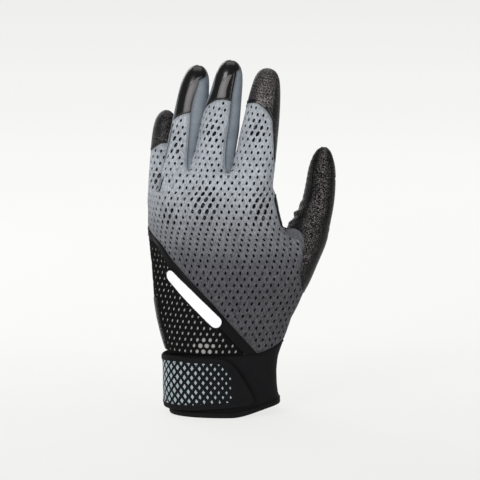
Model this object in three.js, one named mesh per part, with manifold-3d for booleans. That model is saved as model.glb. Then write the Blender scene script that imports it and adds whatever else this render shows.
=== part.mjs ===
// Left-hand batting glove, standing on its hem with the fingers up.
// Millimetres, +Z up, +X towards the thumb, -Y out of the back of the hand.
import * as THREE from 'three';
import { mergeVertices } from 'three/addons/utils/BufferGeometryUtils.js';
import Module from 'manifold-3d';

const wasm = await Module();
wasm.setup();

// Driving dimensions. Outlines are read off the photograph in its pixels, and the hand length scales them.
const handLength = 189;            // wrist seam to the tip of the middle finger
const handLengthPx = 283.5;
const axisColumnPx = 241.5;        // photo column of the glove's middle plane
const hemRowPx = 417.5;            // photo row of the hem
const wall = 1.6;                  // fabric or leather with its backing
const seamGap = 0.35;              // between neighbouring panels
const cuffDepth = 54;              // front to back, over the cuff
const palmDepth = 27;              // front to back, over the palm
const knuckleDepth = 21;           // front to back, where the fingers begin
const cuffMiddle = 1.9;            // cuff's middle, behind the glove's middle plane
const cutReach = 300;              // how far cutting solids reach past the glove
const cutInset = 1;                // a cut's own outline stays this far inside its reach

const pxToMm = handLength / handLengthPx;
const columnX = (px) => (px - axisColumnPx) * pxToMm;
const rowZ = (px) => (hemRowPx - px) * pxToMm;

// Solids

function toSolid(geometry) {
  geometry.deleteAttribute('normal');
  geometry.deleteAttribute('uv');
  const merged = mergeVertices(geometry);
  return new wasm.Manifold(new wasm.Mesh({
    numProp: 3,
    vertProperties: new Float32Array(merged.attributes.position.array),
    triVerts: new Uint32Array(merged.index.array),
  }));
}

function fromSolid(solid, name, material) {
  const mesh = solid.getMesh();
  const geometry = new THREE.BufferGeometry();
  geometry.setAttribute('position', new THREE.BufferAttribute(new Float32Array(mesh.vertProperties), 3));
  geometry.setIndex(new THREE.BufferAttribute(new Uint32Array(mesh.triVerts), 1));
  geometry.computeVertexNormals();
  const piece = new THREE.Mesh(geometry, material);
  piece.name = name;
  return piece;
}

// A ring's own flat coordinates, for closing it with triangles.
function flatten(ring) {
  const normal = new THREE.Vector3();
  ring.forEach((p, i) => normal.add(p.clone().cross(ring[(i + 1) % ring.length])));
  const turn = new THREE.Quaternion().setFromUnitVectors(normal.normalize(), new THREE.Vector3(0, 0, 1));
  return ring.map((p) => p.clone().applyQuaternion(turn)).map((p) => new THREE.Vector2(p.x, p.y));
}

// A closed loft through rings with equal point counts.
function loft(rings) {
  const count = rings[0].length;
  const positions = rings.flat().flatMap((p) => [p.x, p.y, p.z]);
  const index = [];
  for (let level = 0; level < rings.length - 1; level += 1) {
    for (let i = 0; i < count; i += 1) {
      const a = level * count + i;
      const b = level * count + ((i + 1) % count);
      index.push(a, b, b + count, a, b + count, a + count);
    }
  }
  [0, rings.length - 1].forEach((level) => {
    THREE.ShapeUtils.triangulateShape(flatten(rings[level]), []).forEach(([a, b, c]) => {
      const corners = level === 0 ? [a, c, b] : [a, b, c];
      index.push(...corners.map((i) => level * count + i));
    });
  });
  return solidFacingOut(positions, index);
}

function solidFacingOut(positions, index) {
  let volume = 0;
  const corner = (i) => new THREE.Vector3(positions[3 * i], positions[3 * i + 1], positions[3 * i + 2]);
  for (let i = 0; i < index.length; i += 3) {
    volume += corner(index[i]).dot(corner(index[i + 1]).cross(corner(index[i + 2])));
  }
  if (volume < 0) {
    for (let i = 0; i < index.length; i += 3) [index[i], index[i + 1]] = [index[i + 1], index[i]];
  }
  const geometry = new THREE.BufferGeometry();
  geometry.setAttribute('position', new THREE.Float32BufferAttribute(positions, 3));
  geometry.setIndex(index);
  return toSolid(geometry);
}

// An outline in the X-Z plane, pushed along Y.
function prism(outline, yStart, yEnd) {
  const shape = new THREE.Shape(outline.map(([x, z]) => new THREE.Vector2(x, z)));
  const geometry = new THREE.ExtrudeGeometry(shape, { depth: yEnd - yStart, bevelEnabled: false });
  geometry.rotateX(Math.PI / 2);
  geometry.translate(0, yEnd, 0);
  return toSolid(geometry);
}

function photoOutline(points) {
  return points.map(([x, y]) => [columnX(x), rowZ(y)]);
}

// A line of points moved sideways, to its left as it runs.
function shiftLine(points, distance) {
  return points.map((point, i) => {
    const before = points[Math.max(i - 1, 0)];
    const after = points[Math.min(i + 1, points.length - 1)];
    const run = Math.hypot(after[0] - before[0], after[1] - before[1]);
    return [point[0] - ((after[1] - before[1]) / run) * distance,
      point[1] + ((after[0] - before[0]) / run) * distance];
  });
}

// Hand: one hollow form from the hem to the roots of the fingers

// Photo row, left and right edge in photo columns
const handEdges = [
  [417.5, 170.5, 279.5], [405, 169, 279], [390, 168.5, 277], [375, 168.5, 276.5], [360, 168, 278],
  [350, 165.5, 280.5], [338, 162, 284.5], [322, 158, 289.5], [305, 155, 298], [288, 153, 304.5],
  [270, 151.7, 306.5], [252, 150, 301], [238, 149, 290], [226, 148.2, 282.5], [212, 148, 279],
  [201, 148.3, 276.5], [194, 150, 275],
];
// For each of those rows, how far it has taken the knuckles' arch, the cuff's depth and the knuckles' depth
const archShares = [0, 0, 0, 0, 0, 0.02, 0.08, 0.2, 0.32, 0.45, 0.58, 0.72, 0.83, 0.91, 0.98, 1, 1];
const cuffShares = [1, 1, 1, 1, 1, 0.98, 0.92, 0.8, 0.68, 0.56, 0.44, 0.32, 0.22, 0.12, 0.02, 0, 0];
const knuckleShares = [0, 0, 0, 0, 0, 0, 0, 0, 0, 0, 0, 0, 0, 0, 0, 0.36, 1];
const handRows = handEdges.map((edges, i) => [...edges, archShares[i], cuffShares[i], knuckleShares[i]]);
const knuckleLine = [            // photo column, and depth behind the middle plane
  [151, 24], [161.5, 19.4], [178.5, 1.8], [213.5, -6], [252, -11], [276, -10],
];
const handSides = 34;
const edgeFullnessShare = 0.72;    // lower is boxier
const midlineSteps = 24;

function midline(row) {
  const [, left, right, arch] = row;
  const points = knuckleLine.map(([column, depth], i) => {
    const flatX = THREE.MathUtils.lerp(columnX(left), columnX(right), i / (knuckleLine.length - 1));
    return new THREE.Vector3(
      THREE.MathUtils.lerp(flatX, columnX(column), arch),
      THREE.MathUtils.lerp(cuffMiddle, depth, arch),
      0,
    );
  });
  return new THREE.CatmullRomCurve3(points, false, 'centripetal');
}

function handRing(row, grow) {
  const [rowPx, left, right, , cuffShare, knuckleShare] = row;
  const curve = midline(row);
  const full = palmDepth + (cuffDepth - palmDepth) * cuffShare + (knuckleDepth - palmDepth) * knuckleShare;
  const sideways = (offset) => Array.from({ length: handSides }, (unused, i) => {
    const angle = (2 * Math.PI * i) / handSides;
    const along = Math.cos(angle);
    const out = Math.sin(angle);
    const place = (1 + along) / 2;
    const point = curve.getPointAt(place);
    const tangent = curve.getTangentAt(place);
    const thick = (full / 2 + offset) * Math.sign(out) * Math.abs(out) ** edgeFullnessShare;
    return new THREE.Vector3(
      point.x + tangent.x * along * offset - tangent.y * thick,
      point.y + tangent.y * along * offset + tangent.x * thick,
      rowZ(rowPx),
    );
  });
  const plain = sideways(0);
  const low = Math.min(...plain.map((p) => p.x));
  const high = Math.max(...plain.map((p) => p.x));
  const scale = (columnX(right) - columnX(left)) / (high - low);
  return sideways(grow).map((p) => new THREE.Vector3(columnX(left) + (p.x - low) * scale, p.y, p.z));
}

function handForm(grow, topDrop, bottomReach) {
  const rings = handRows.map((row) => handRing(row, grow));
  const bottom = rings[0].map((p) => new THREE.Vector3(p.x, p.y, p.z - bottomReach));
  rings[rings.length - 1].forEach((p) => { p.z -= topDrop; });
  return loft(bottomReach > 0 ? [bottom, ...rings] : rings);
}

// Everything behind the hand's midline, a solid that divides back from palm.
function behindMidline(shift) {
  const front = [];
  const rows = [...handRows].reverse();
  rows.unshift([rows[0][0] - cutReach / pxToMm, ...rows[0].slice(1)]);
  rows.push([rows[rows.length - 1][0] + cutReach / pxToMm, ...rows[rows.length - 1].slice(1)]);
  rows.forEach((row) => {
    const curve = midline(row);
    const ends = [curve.getPointAt(0), curve.getPointAt(1)];
    const line = [new THREE.Vector3(ends[0].x - cutReach, ends[0].y, 0)];
    for (let i = 0; i <= midlineSteps; i += 1) line.push(curve.getPointAt(i / midlineSteps));
    line.push(new THREE.Vector3(ends[1].x + cutReach, ends[1].y, 0));
    front.push(line.map((p) => new THREE.Vector3(p.x, p.y + shift, rowZ(row[0]))));
  });
  const rings = front.map((line) => [...line,
    ...[...line].reverse().map((p) => new THREE.Vector3(p.x, cutReach, p.z))]);
  return loft(rings);
}

// Fingers

const fingerSides = 16;
// Root, tip and width are in photo pixels, with the tips lowered for a camera that looks down a little.
// Depths lie behind the middle plane, in millimetres.
// A taper row is a share of the length, and the share of the width left there.
const fingers = {
  index: {
    root: [255, 168], tip: [269.5, 70.4], rootDepth: -11, curl: 3, widthPx: 39, depth: 22.6, turn: 8,
    meshTop: [103, 118], capRow: 84, reach: 24,
    taperShares: [[0, 1], [0.26, 0.94], [0.46, 0.89], [0.61, 0.83], [0.72, 0.78], [0.82, 0.72], [0.91, 0.6],
      [0.96, 0.45], [0.985, 0.3], [1, 0.08]],
  },
  middle: {
    root: [213.5, 166.5], tip: [233, 63], rootDepth: -6, curl: 2, widthPx: 38.4, depth: 22.6, turn: 16,
    meshTop: [108, 100], capRow: 79, reach: 24,
    taperShares: [[0, 1], [0.3, 1], [0.46, 0.98], [0.57, 0.92], [0.67, 0.86], [0.79, 0.77], [0.89, 0.67],
      [0.95, 0.5], [0.985, 0.3], [1, 0.08]],
  },
  ring: {
    root: [178.5, 168.5], tip: [200, 69.2], rootDepth: 1.8, curl: 3, widthPx: 31.2, depth: 19.2, turn: 28,
    meshTop: [129, 115], capRow: 86, reach: 24,
    taperShares: [[0, 1], [0.4, 1], [0.62, 1], [0.78, 0.96], [0.87, 0.84], [0.93, 0.68], [0.97, 0.46],
      [0.99, 0.26], [1, 0.08]],
  },
  little: {
    root: [161.5, 190], tip: [168.5, 115.2], rootDepth: 19.4, curl: 3, widthPx: 25.5, depth: 16.2, turn: 42,
    meshTop: [155, 147], capRow: 132, reach: 10,
    taperShares: [[0, 1], [0.4, 0.98], [0.62, 0.95], [0.78, 0.89], [0.88, 0.76], [0.94, 0.58], [0.98, 0.34],
      [1, 0.08]],
  },
};
const panelShare = 0.74;          // half width of the back and palm panels, of the finger's half width
// Where a finger runs down into the hand: shares of its reach, and the shares of its width there
const rootTaperShares = [[1, 0.84], [0.8, 0.95], [0.6, 1]];

function fingerFrame(finger) {
  const root = new THREE.Vector3(columnX(finger.root[0]), finger.rootDepth, rowZ(finger.root[1]));
  const tip = new THREE.Vector3(columnX(finger.tip[0]), finger.rootDepth, rowZ(finger.tip[1]));
  const along = tip.clone().sub(root).normalize();
  const turn = THREE.MathUtils.degToRad(finger.turn);
  const across = new THREE.Vector3(along.z, 0, -along.x);
  const back = new THREE.Vector3(0, 1, 0);
  const widthAxis = across.clone().multiplyScalar(Math.cos(turn)).addScaledVector(back, -Math.sin(turn));
  const palmAxis = across.clone().multiplyScalar(Math.sin(turn)).addScaledVector(back, Math.cos(turn));
  return { root, along, widthAxis, palmAxis, length: tip.distanceTo(root) };
}

function fingerRing(finger, frame, distance, grow, scale) {
  const share = THREE.MathUtils.clamp(distance / frame.length, 0, 1);
  const centre = frame.root.clone().addScaledVector(frame.along, distance);
  centre.y += finger.curl * share * share;
  return Array.from({ length: fingerSides }, (unused, i) => {
    const angle = (2 * Math.PI * (i + 1 / 2)) / fingerSides;
    return centre.clone()
      .addScaledVector(frame.widthAxis, ((finger.widthPx * pxToMm) / 2 + grow) * scale * Math.cos(angle))
      .addScaledVector(frame.palmAxis, (finger.depth / 2 + grow) * scale * Math.sin(angle));
  });
}

function fingerForm(finger, grow, start) {
  const frame = fingerFrame(finger);
  const length = frame.length + grow;
  const shares = finger.taperShares.filter(([share]) => share * length > start);
  const rings = [fingerRing(finger, frame, start, grow, 1)];
  shares.forEach(([share, scale]) => rings.push(fingerRing(finger, frame, share * length, grow, scale)));
  return loft(rings);
}

function fingerRoot(finger, grow, top) {
  const frame = fingerFrame(finger);
  const rings = rootTaperShares.map(
    ([share, scale]) => fingerRing(finger, frame, -finger.reach * share, grow, scale));
  return loft([...rings, fingerRing(finger, frame, top, grow, 1)]);
}

// An outline across and along a finger, pushed along its depth.
function fingerPrism(frame, outline, depthStart, depthEnd) {
  const local = prism(outline, depthStart, depthEnd);
  const basis = new THREE.Matrix4().makeBasis(frame.widthAxis, frame.palmAxis, frame.along);
  basis.setPosition(frame.root);
  return local.transform(basis.elements);
}

// Thumb

const thumbWidth = 21.6;
const thumbDepthShare = 0.94;
const thumbMiddle = -2;           // depth of the thumb's middle behind the glove's middle plane
const thumbSpine = [[306.5, 235], [312, 221], [317.3, 205.6], [320, 189], [321.3, 173.2], [322, 163.3],
  [322.8, 155.5], [323.2, 151], [323.4, 149.1]];
const thumbSpineShares = [1.32, 1.16, 1.01, 0.94, 0.85, 0.71, 0.5, 0.26, 0.06];
const thumbBaseSpine = [[280, 300], [289, 278], [298, 256], [306.5, 235]];
const thumbBaseShares = [1, 1.27, 1.31, 1.32];
const thumbBaseDepthShares = [1, 1, 0.96, thumbDepthShare];
const leastInsideShare = 0.25;    // the hollow keeps this share of the thumb's radius

function spineRings(spine, widthShares, grow, endShift, depthShares) {
  const points = spine.map(([x, y]) => new THREE.Vector3(columnX(x), thumbMiddle, rowZ(y)));
  return points.map((point, i) => {
    const before = points[Math.max(i - 1, 0)];
    const after = points[Math.min(i + 1, points.length - 1)];
    const along = i === endShift.at ? endShift.along : after.clone().sub(before).normalize();
    const across = new THREE.Vector3(along.z, 0, -along.x);
    const half = (thumbWidth / 2) * widthShares[i];
    const radius = Math.max(half + grow, half * leastInsideShare);
    const centre = point.clone().addScaledVector(along, i === endShift.at ? endShift.distance : 0);
    return Array.from({ length: fingerSides }, (unused, side) => {
      const angle = (2 * Math.PI * (side + 1 / 2)) / fingerSides;
      return centre.clone()
        .addScaledVector(across, radius * Math.cos(angle))
        .add(new THREE.Vector3(0, radius * depthShares[i] * Math.sin(angle), 0));
    });
  });
}

const thumbAlong = new THREE.Vector3(
  columnX(thumbSpine[1][0]) - columnX(thumbBaseSpine[2][0]),
  0,
  rowZ(thumbSpine[1][1]) - rowZ(thumbBaseSpine[2][1]),
).normalize();

function thumbForm(grow, start) {
  const depths = thumbSpine.map(() => thumbDepthShare);
  const startRing = { at: 0, along: thumbAlong, distance: start };
  const rings = spineRings(thumbSpine, thumbSpineShares, grow, startRing, depths);
  if (grow < 0) {
    const tip = rings[rings.length - 1];
    tip.forEach((p) => { p.z += grow; });
  }
  return loft(rings);
}

function thumbBase(grow, top) {
  const topRing = { at: thumbBaseSpine.length - 1, along: thumbAlong, distance: top };
  return loft(spineRings(thumbBaseSpine, thumbBaseShares, grow, topRing, thumbBaseDepthShares));
}

// Webs: the hand's top between the roots of index, middle and ring

const webRow = 172.5;             // photo row of the bottom of the gaps between the fingers
const webRows = [207, 200, 193];  // from where the webs end inside the hand
const webTaperShares = [0.84, 0.95, 1];   // of the fingers' depth, at those rows

function webForm(grow) {
  const names = ['ring', 'middle', 'index'];
  const outline = (rowPx, depthShare) => {
    const line = names.map((name) => {
      const frame = fingerFrame(fingers[name]);
      const down = (rowZ(rowPx) - frame.root.z) / frame.along.z;
      const half = (fingers[name].depth / 2) * depthShare;
      return { at: frame.root.clone().addScaledVector(frame.along, down), half };
    });
    const inset = wall - grow;
    const side = (sign) => line.map(
      ({ at, half }) => new THREE.Vector3(at.x, at.y + sign * (half - inset), at.z));
    return [...side(-1), ...side(1).reverse()];
  };
  const top = outline(webRow, 1);
  top.forEach((p) => { p.z += Math.min(grow, 0); });
  return loft([...webRows.map((rowPx, i) => outline(rowPx, webTaperShares[i])), top]);
}

// Cuts across the hand, in photo points

const cuffSeam = [[140, 353], [163, 353.5], [200, 356], [232.6, 356], [258, 353.5], [269, 349.5], [283, 341],
  [300, 332]];
const diagonalSeam = [[140, 217], [152, 233], [158.5, 241.5], [166, 252], [175, 264], [185.8, 276.5],
  [198, 289.5], [212, 304], [227, 321], [242.5, 338], [257, 353.5], [262, 359]];
const thumbSeam = [[286, 222], [300.6, 228], [303.9, 236], [304.4, 246], [302.3, 258], [300.6, 269],
  [302, 281], [304.4, 292], [312, 300]];
const trimWidth = 6.6;            // plain band along the diagonal seam
const edgeBandLine = [[120, 292], [154, 293], [159, 310], [164.5, 326], [170, 341], [174, 358]];

function cutRegion(line, corners) {
  return prism([...line, ...corners], -cutReach, cutReach);
}

const first = (line) => line[0];
const last = (line) => line[line.length - 1];
const far = cutReach - cutInset;
const wholePlane = [[-far, -far], [far, -far], [far, far], [-far, far]];

function belowCuffSeam(shift) {
  const line = shiftLine(photoOutline(cuffSeam), shift);
  return cutRegion([[-far, first(line)[1]], ...line, [far, last(line)[1]]], [[far, -far], [-far, -far]]);
}

function belowDiagonal(shift) {
  const line = shiftLine(photoOutline(diagonalSeam), shift);
  return cutRegion(line, [[last(line)[0], -far], [-far, -far], [-far, first(line)[1]]]);
}

function besideThumb(shift) {
  const line = shiftLine(photoOutline(thumbSeam), shift);
  return cutRegion(line, [[far, last(line)[1]], [far, far], [first(line)[0], far]]);
}

function leftOfEdge(shift) {
  const line = shiftLine(photoOutline(edgeBandLine), shift);
  return cutRegion(line, [[last(line)[0], -far], [-far, -far], [-far, first(line)[1]]]);
}

// Materials

const finish = (color, roughness) => new THREE.MeshStandardMaterial({ color, roughness, metalness: 0 });
const meshCloth = finish(0xa3aab1, 0.85);
const sideCloth = finish(0x8f99a3, 0.8);
const glossFilm = finish(0x242226, 0.25);
const leather = finish(0x262425, 0.5);
const neoprene = finish(0x1a1a1c, 0.75);
const tape = finish(0x26262a, 0.8);
const speckledMesh = finish(0x35363a, 0.7);
const whiteFilm = finish(0xf0f0f2, 0.45);
const strapCloth = finish(0x4a5056, 0.7);
const fleece = finish(0x1c1c1e, 0.95);

const glove = new THREE.Group();
const addPiece = (name, solid, material) => glove.add(fromSolid(solid, name, material));
const halfGap = seamGap / 2;

// Hand panels

function handSolid(grow) {
  const inside = grow < 0;
  const rootTop = inside ? wall : -halfGap;
  let solid = handForm(grow, inside ? wall : 0, inside ? wall : 0).add(webForm(grow));
  Object.values(fingers).forEach((finger) => { solid = solid.add(fingerRoot(finger, grow, rootTop)); });
  return solid.add(thumbBase(grow, rootTop));
}

const handShell = handSolid(0).subtract(handSolid(-wall));
const hand = handShell.subtract(belowCuffSeam(halfGap));
const handBack = hand.subtract(behindMidline(-halfGap));
const belowTrim = handBack.intersect(belowDiagonal(-trimWidth - halfGap));

addPiece('palm_leather', hand.intersect(behindMidline(halfGap)), leather);
addPiece('thumb_leather', handBack.intersect(besideThumb(halfGap)), leather);
addPiece('back_mesh', handBack.subtract(belowDiagonal(halfGap)).subtract(besideThumb(-halfGap)), meshCloth);
addPiece('diagonal_trim',
  handBack.intersect(belowDiagonal(-halfGap)).subtract(belowDiagonal(halfGap - trimWidth)), tape);
addPiece('side_panel', belowTrim.subtract(leftOfEdge(halfGap)), speckledMesh);
addPiece('edge_band', belowTrim.intersect(leftOfEdge(-halfGap)), tape);

// White bar, a film on the side panel
const filmThickness = 0.8;
const barStart = [160, 261];       // photo points of its middle line
const barEnd = [217.5, 324];
const barWidth = 9;

function filmLayer(lower, thickness) {
  return handForm(lower + thickness, 0, 0).subtract(handForm(lower, wall, wall));
}

const barLine = photoOutline([barStart, barEnd]);
const barOutline = [...shiftLine(barLine, barWidth / 2), ...shiftLine(barLine, -barWidth / 2).reverse()];
addPiece('side_bar',
  filmLayer(seamGap, filmThickness).intersect(prism(barOutline, -cutReach, cuffMiddle)), whiteFilm);

// Cuff

const hemHeight = 3.6;
const hemProud = 0.7;
const hemRise = 6.5;               // at the thumb side
const hemRiseStart = 246;          // photo column where the hem leaves the ground
const hemRiseEnd = 281;
const hemSteps = 6;
const liningThickness = 1;

function hemLine(height) {
  const curve = Array.from({ length: hemSteps + 1 }, (unused, i) => {
    const share = i / hemSteps;
    return [columnX(THREE.MathUtils.lerp(hemRiseStart, hemRiseEnd, share)), height + hemRise * share * share];
  });
  return [[-far, height], ...curve, [far, last(curve)[1]]];
}

const belowHemLine = (height) => cutRegion(hemLine(height), [[far, -far], [-far, -far]]);
const cuffShell = handShell.intersect(belowCuffSeam(-halfGap));
addPiece('cuff_band', cuffShell.subtract(belowHemLine(hemHeight + halfGap)), neoprene);
addPiece('hem_binding', handForm(hemProud, 0, 0).subtract(handForm(-wall - hemProud, wall, wall))
  .intersect(belowHemLine(hemHeight - halfGap)).subtract(belowHemLine(0)), tape);
addPiece('cuff_lining', handForm(-wall - seamGap, 0, 0)
  .subtract(handForm(-wall - seamGap - liningThickness, wall, wall))
  .intersect(belowCuffSeam(-halfGap)).subtract(belowHemLine(hemHeight + halfGap)), fleece);

// Wrist strap

const strapTop = 39.8;
const strapBottom = 4.7;
const strapThickness = 1.3;
const bindingWidth = 3.8;
const bindingProud = 0.35;
const patchThickness = 1;
const patchMargin = 1.5;
const loopStart = 198;             // photo columns of the closure's two patches
const loopEnd = 259;
const hookStart = 212;
const anchorReach = 10;
const strapNosePx = [218, 231.7, 242.4, 251.6, 254, 251, 243];
const strapNoseShares = [0, 0.13, 0.53, 0.8, 0.88, 0.96, 1];   // of the strap's height, for those columns
const strapNoseSteps = 18;
const hookLevel = seamGap + patchThickness + seamGap;
const strapLevel = hookLevel + patchThickness + seamGap;

function strapEdge(inset) {
  const top = strapTop - inset;
  const bottom = strapBottom + inset;
  const corners = strapNosePx.map((column, i) => new THREE.Vector2(
    columnX(column) - inset, THREE.MathUtils.lerp(top, bottom, strapNoseShares[i])));
  const nose = new THREE.SplineCurve(corners).getPoints(strapNoseSteps);
  return [[-far, top], ...nose.map((p) => p.toArray()), [-far, bottom]];
}

const strapSide = (solid, sign) => {
  const start = cuffMiddle + sign * halfGap;
  return solid.intersect(sign < 0 ? prism(wholePlane, -cutReach, start) : prism(wholePlane, start, cutReach));
};
const strapArea = (inset) => prism(strapEdge(inset), -cutReach, cutReach);
const patchArea = (startColumn, endColumn, inset) => prism([
  [columnX(startColumn), strapBottom + inset], [columnX(endColumn), strapBottom + inset],
  [columnX(endColumn), strapTop - inset], [columnX(startColumn), strapTop - inset],
], -cutReach, cutReach);
const patchInset = bindingWidth + patchMargin;

addPiece('strap_face', strapSide(filmLayer(strapLevel, strapThickness)
  .intersect(strapArea(bindingWidth + seamGap)), -1), strapCloth);
addPiece('strap_binding', strapSide(filmLayer(strapLevel - bindingProud, strapThickness + 2 * bindingProud)
  .intersect(strapArea(0)).subtract(strapArea(bindingWidth)), -1), tape);
addPiece('hook_patch', strapSide(filmLayer(hookLevel, patchThickness)
  .intersect(strapArea(patchInset)).intersect(patchArea(hookStart, loopEnd, patchInset)), -1), fleece);
addPiece('loop_patch', strapSide(filmLayer(seamGap, patchThickness)
  .intersect(patchArea(loopStart, loopEnd, patchMargin)), -1), fleece);
addPiece('strap_anchor', strapSide(filmLayer(strapLevel - bindingProud, strapThickness + 2 * bindingProud)
  .intersect(patchArea(0, loopStart, 0))
  .intersect(prism([[-far, -far], [columnX(handRows[0][1]) + anchorReach, -far],
    [columnX(handRows[0][1]) + anchorReach, far], [-far, far]], -cutReach, cutReach)), 1), tape);

// Finger panels

const archRise = 2.5;
const archSteps = 5;
const glossTips = ['middle', 'ring'];

Object.entries(fingers).forEach(([name, finger]) => {
  const frame = fingerFrame(finger);
  const shell = fingerForm(finger, 0, halfGap).subtract(fingerForm(finger, -wall, -wall));
  const side = (panelShare * finger.widthPx * pxToMm) / 2;
  const along = (rowPx) => (rowZ(rowPx) - frame.root.z) / frame.along.z;
  const [meshLeft, meshRight] = finger.meshTop.map(along);
  const cap = along(finger.capRow);
  const edge = side - halfGap;
  const arch = (shift) => Array.from({ length: archSteps + 1 }, (unused, i) => {
    const share = i / archSteps;
    return [THREE.MathUtils.lerp(-edge, edge, share),
      THREE.MathUtils.lerp(meshLeft, meshRight, share) + archRise * Math.sin(Math.PI * share) + shift];
  });
  const area = (outline, start, end) => shell.intersect(fingerPrism(frame, outline, start, end));
  const strip = (from, to, top) => [[from, -far], [to, -far], [to, top], [from, top]];
  addPiece(`${name}_back_mesh`,
    area([[-edge, -far], [edge, -far], ...arch(-halfGap).reverse()], -far, -halfGap), meshCloth);
  addPiece(`${name}_tip_cover`,
    area([...arch(halfGap), [edge, cap + seamGap], [-edge, cap + seamGap]], -far, -halfGap)
      .add(area([[-far, cap + halfGap], [far, cap + halfGap], [far, far], [-far, far]], -far, far)),
    glossTips.includes(name) ? glossFilm : leather);
  addPiece(`${name}_inner_side`, area(strip(side + halfGap, far, cap - halfGap), -far, far),
    name === 'index' ? leather : sideCloth);
  addPiece(`${name}_outer_side`, area(strip(-far, -side - halfGap, cap - halfGap), -far, far),
    name === 'little' ? leather : sideCloth);
  addPiece(`${name}_palm_leather`, area(strip(-edge, edge, cap - halfGap), halfGap, far), leather);
});

// Thumb panels

const gussetShare = 0.5;           // where the gusset's seam lies, of the half width
const thumbCapSeam = [[290, 160], [311, 164], [319, 176], [345, 178]];

function gussetRegion(shift) {
  const line = thumbSpine.map(([x, y], i) => [
    columnX(x) - (gussetShare * thumbSpineShares[i] * thumbWidth) / 2, rowZ(y)]);
  const start = first(line).map((place, axis) => 2 * place - line[1][axis]);
  const moved = shiftLine([start, ...line], -shift);
  return cutRegion(moved, [[last(moved)[0], far], [-far, far], [-far, first(moved)[1]]]);
}

const aboveThumbCap = (shift) => {
  const line = shiftLine(photoOutline(thumbCapSeam), -shift);
  return cutRegion(line, [[last(line)[0], far], [first(line)[0], far]]);
};
const thumbShell = thumbForm(0, halfGap).subtract(thumbForm(-wall, -wall));
const thumbBelowCap = thumbShell.subtract(aboveThumbCap(halfGap));
const thumbOutside = thumbBelowCap.subtract(gussetRegion(halfGap));

addPiece('thumb_cap', thumbShell.intersect(aboveThumbCap(-halfGap)), leather);
addPiece('thumb_gusset', thumbBelowCap.intersect(gussetRegion(-halfGap)), leather);
addPiece('thumb_back', thumbOutside.intersect(prism(wholePlane, -cutReach, thumbMiddle - halfGap)), leather);
addPiece('thumb_palm', thumbOutside.intersect(prism(wholePlane, thumbMiddle + halfGap, cutReach)), leather);

export default glove;
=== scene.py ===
import bpy
import math
import numpy as np
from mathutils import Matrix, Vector
from mathutils.bvhtree import BVHTree
from mathutils.geometry import delaunay_2d_cdt


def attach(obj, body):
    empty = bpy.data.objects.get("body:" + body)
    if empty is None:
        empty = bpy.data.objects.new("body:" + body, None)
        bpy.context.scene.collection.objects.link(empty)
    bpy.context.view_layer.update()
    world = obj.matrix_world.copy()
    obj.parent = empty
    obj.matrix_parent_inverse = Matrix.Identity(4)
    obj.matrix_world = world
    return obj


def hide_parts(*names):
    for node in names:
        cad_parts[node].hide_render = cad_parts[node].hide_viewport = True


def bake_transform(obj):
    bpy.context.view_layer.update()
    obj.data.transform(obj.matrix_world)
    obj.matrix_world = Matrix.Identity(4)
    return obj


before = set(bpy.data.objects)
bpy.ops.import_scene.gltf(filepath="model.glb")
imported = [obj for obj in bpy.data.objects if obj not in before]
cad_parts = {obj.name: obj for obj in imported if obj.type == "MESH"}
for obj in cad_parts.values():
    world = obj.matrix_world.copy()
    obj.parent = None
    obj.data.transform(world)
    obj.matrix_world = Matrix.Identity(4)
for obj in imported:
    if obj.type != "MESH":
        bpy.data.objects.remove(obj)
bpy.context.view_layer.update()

# Sizes in millimetres, places in photo pixels: column to X, row to height
photo = {"mmPerPixel": 189 / 283.5, "middleColumn": 241.5, "hemRow": 417.5, "tilt": 7.0, "hemFront": -27.0}
tiltSin = math.sin(math.radians(photo["tilt"]))
tiltCos = math.cos(math.radians(photo["tilt"]))


def columnX(column):
    return (column - photo["middleColumn"]) * photo["mmPerPixel"]


def rowZ(row):
    return (photo["hemRow"] - row) * photo["mmPerPixel"]


def seenZ(row, depth):
    # height of a point at this depth that the photo shows on this row
    level = rowZ(row) + photo["hemFront"] * tiltSin
    return (level - depth * tiltSin) / tiltCos


def unit(vectors):
    return vectors / np.maximum(np.linalg.norm(vectors, axis=1), 1e-9)[:, None]


def heading(line):
    # direction of a line at each of its points
    return unit(np.gradient(line, axis=0))


def readAll(items, key, size, kind=float):
    # a property of all vertices, edges or loops
    values = np.zeros(len(items) * size, kind)
    items.foreach_get(key, values)
    return values.reshape(-1, size) if size > 1 else values


def addObject(name, data):
    obj = bpy.data.objects.new(name, data)
    bpy.context.collection.objects.link(obj)
    return obj


def editMesh(obj, *steps):
    # runs these operators, each with its options, on all of the mesh
    bpy.ops.object.select_all(action="DESELECT")
    obj.select_set(True)
    bpy.context.view_layer.objects.active = obj
    bpy.ops.object.mode_set(mode="EDIT")
    bpy.ops.mesh.select_all(action="SELECT")
    for operator, options in steps:
        operator(**options)
    bpy.ops.object.mode_set(mode="OBJECT")


def faceOut(obj):
    editMesh(obj, (bpy.ops.mesh.normals_make_consistent, {"inside": False}))


def tubeFaces(levels, sides, start=0):
    # faces between rings of points, with both ends closed
    faces = []
    for low in range(start, start + (levels - 1) * sides, sides):
        for k in range(sides):
            a, b = low + k, low + (k + 1) % sides
            faces.append((a, b, b + sides, a + sides))
    last = start + (levels - 1) * sides
    return faces + [tuple(reversed(range(start, start + sides))), tuple(range(last, last + sides))]


# Camera, floor and light
camera = {"distance": 1.6, "width": 0.32, "sensor": 36.0}


def makeCamera():
    data = bpy.data.cameras.new("camera")
    data.sensor_width = camera["sensor"]
    data.lens = camera["sensor"] * camera["distance"] / camera["width"]
    data.clip_start = 0.05
    obj = addObject("camera", data)
    aim = Vector((columnX(240), 0, seenZ(240, 0))) * 0.001
    back = Vector((0, -tiltCos, tiltSin))
    obj.location = aim + back * camera["distance"]
    obj.rotation_euler = (-back).to_track_quat("-Z", "Y").to_euler()
    bpy.context.scene.camera = obj


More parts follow.
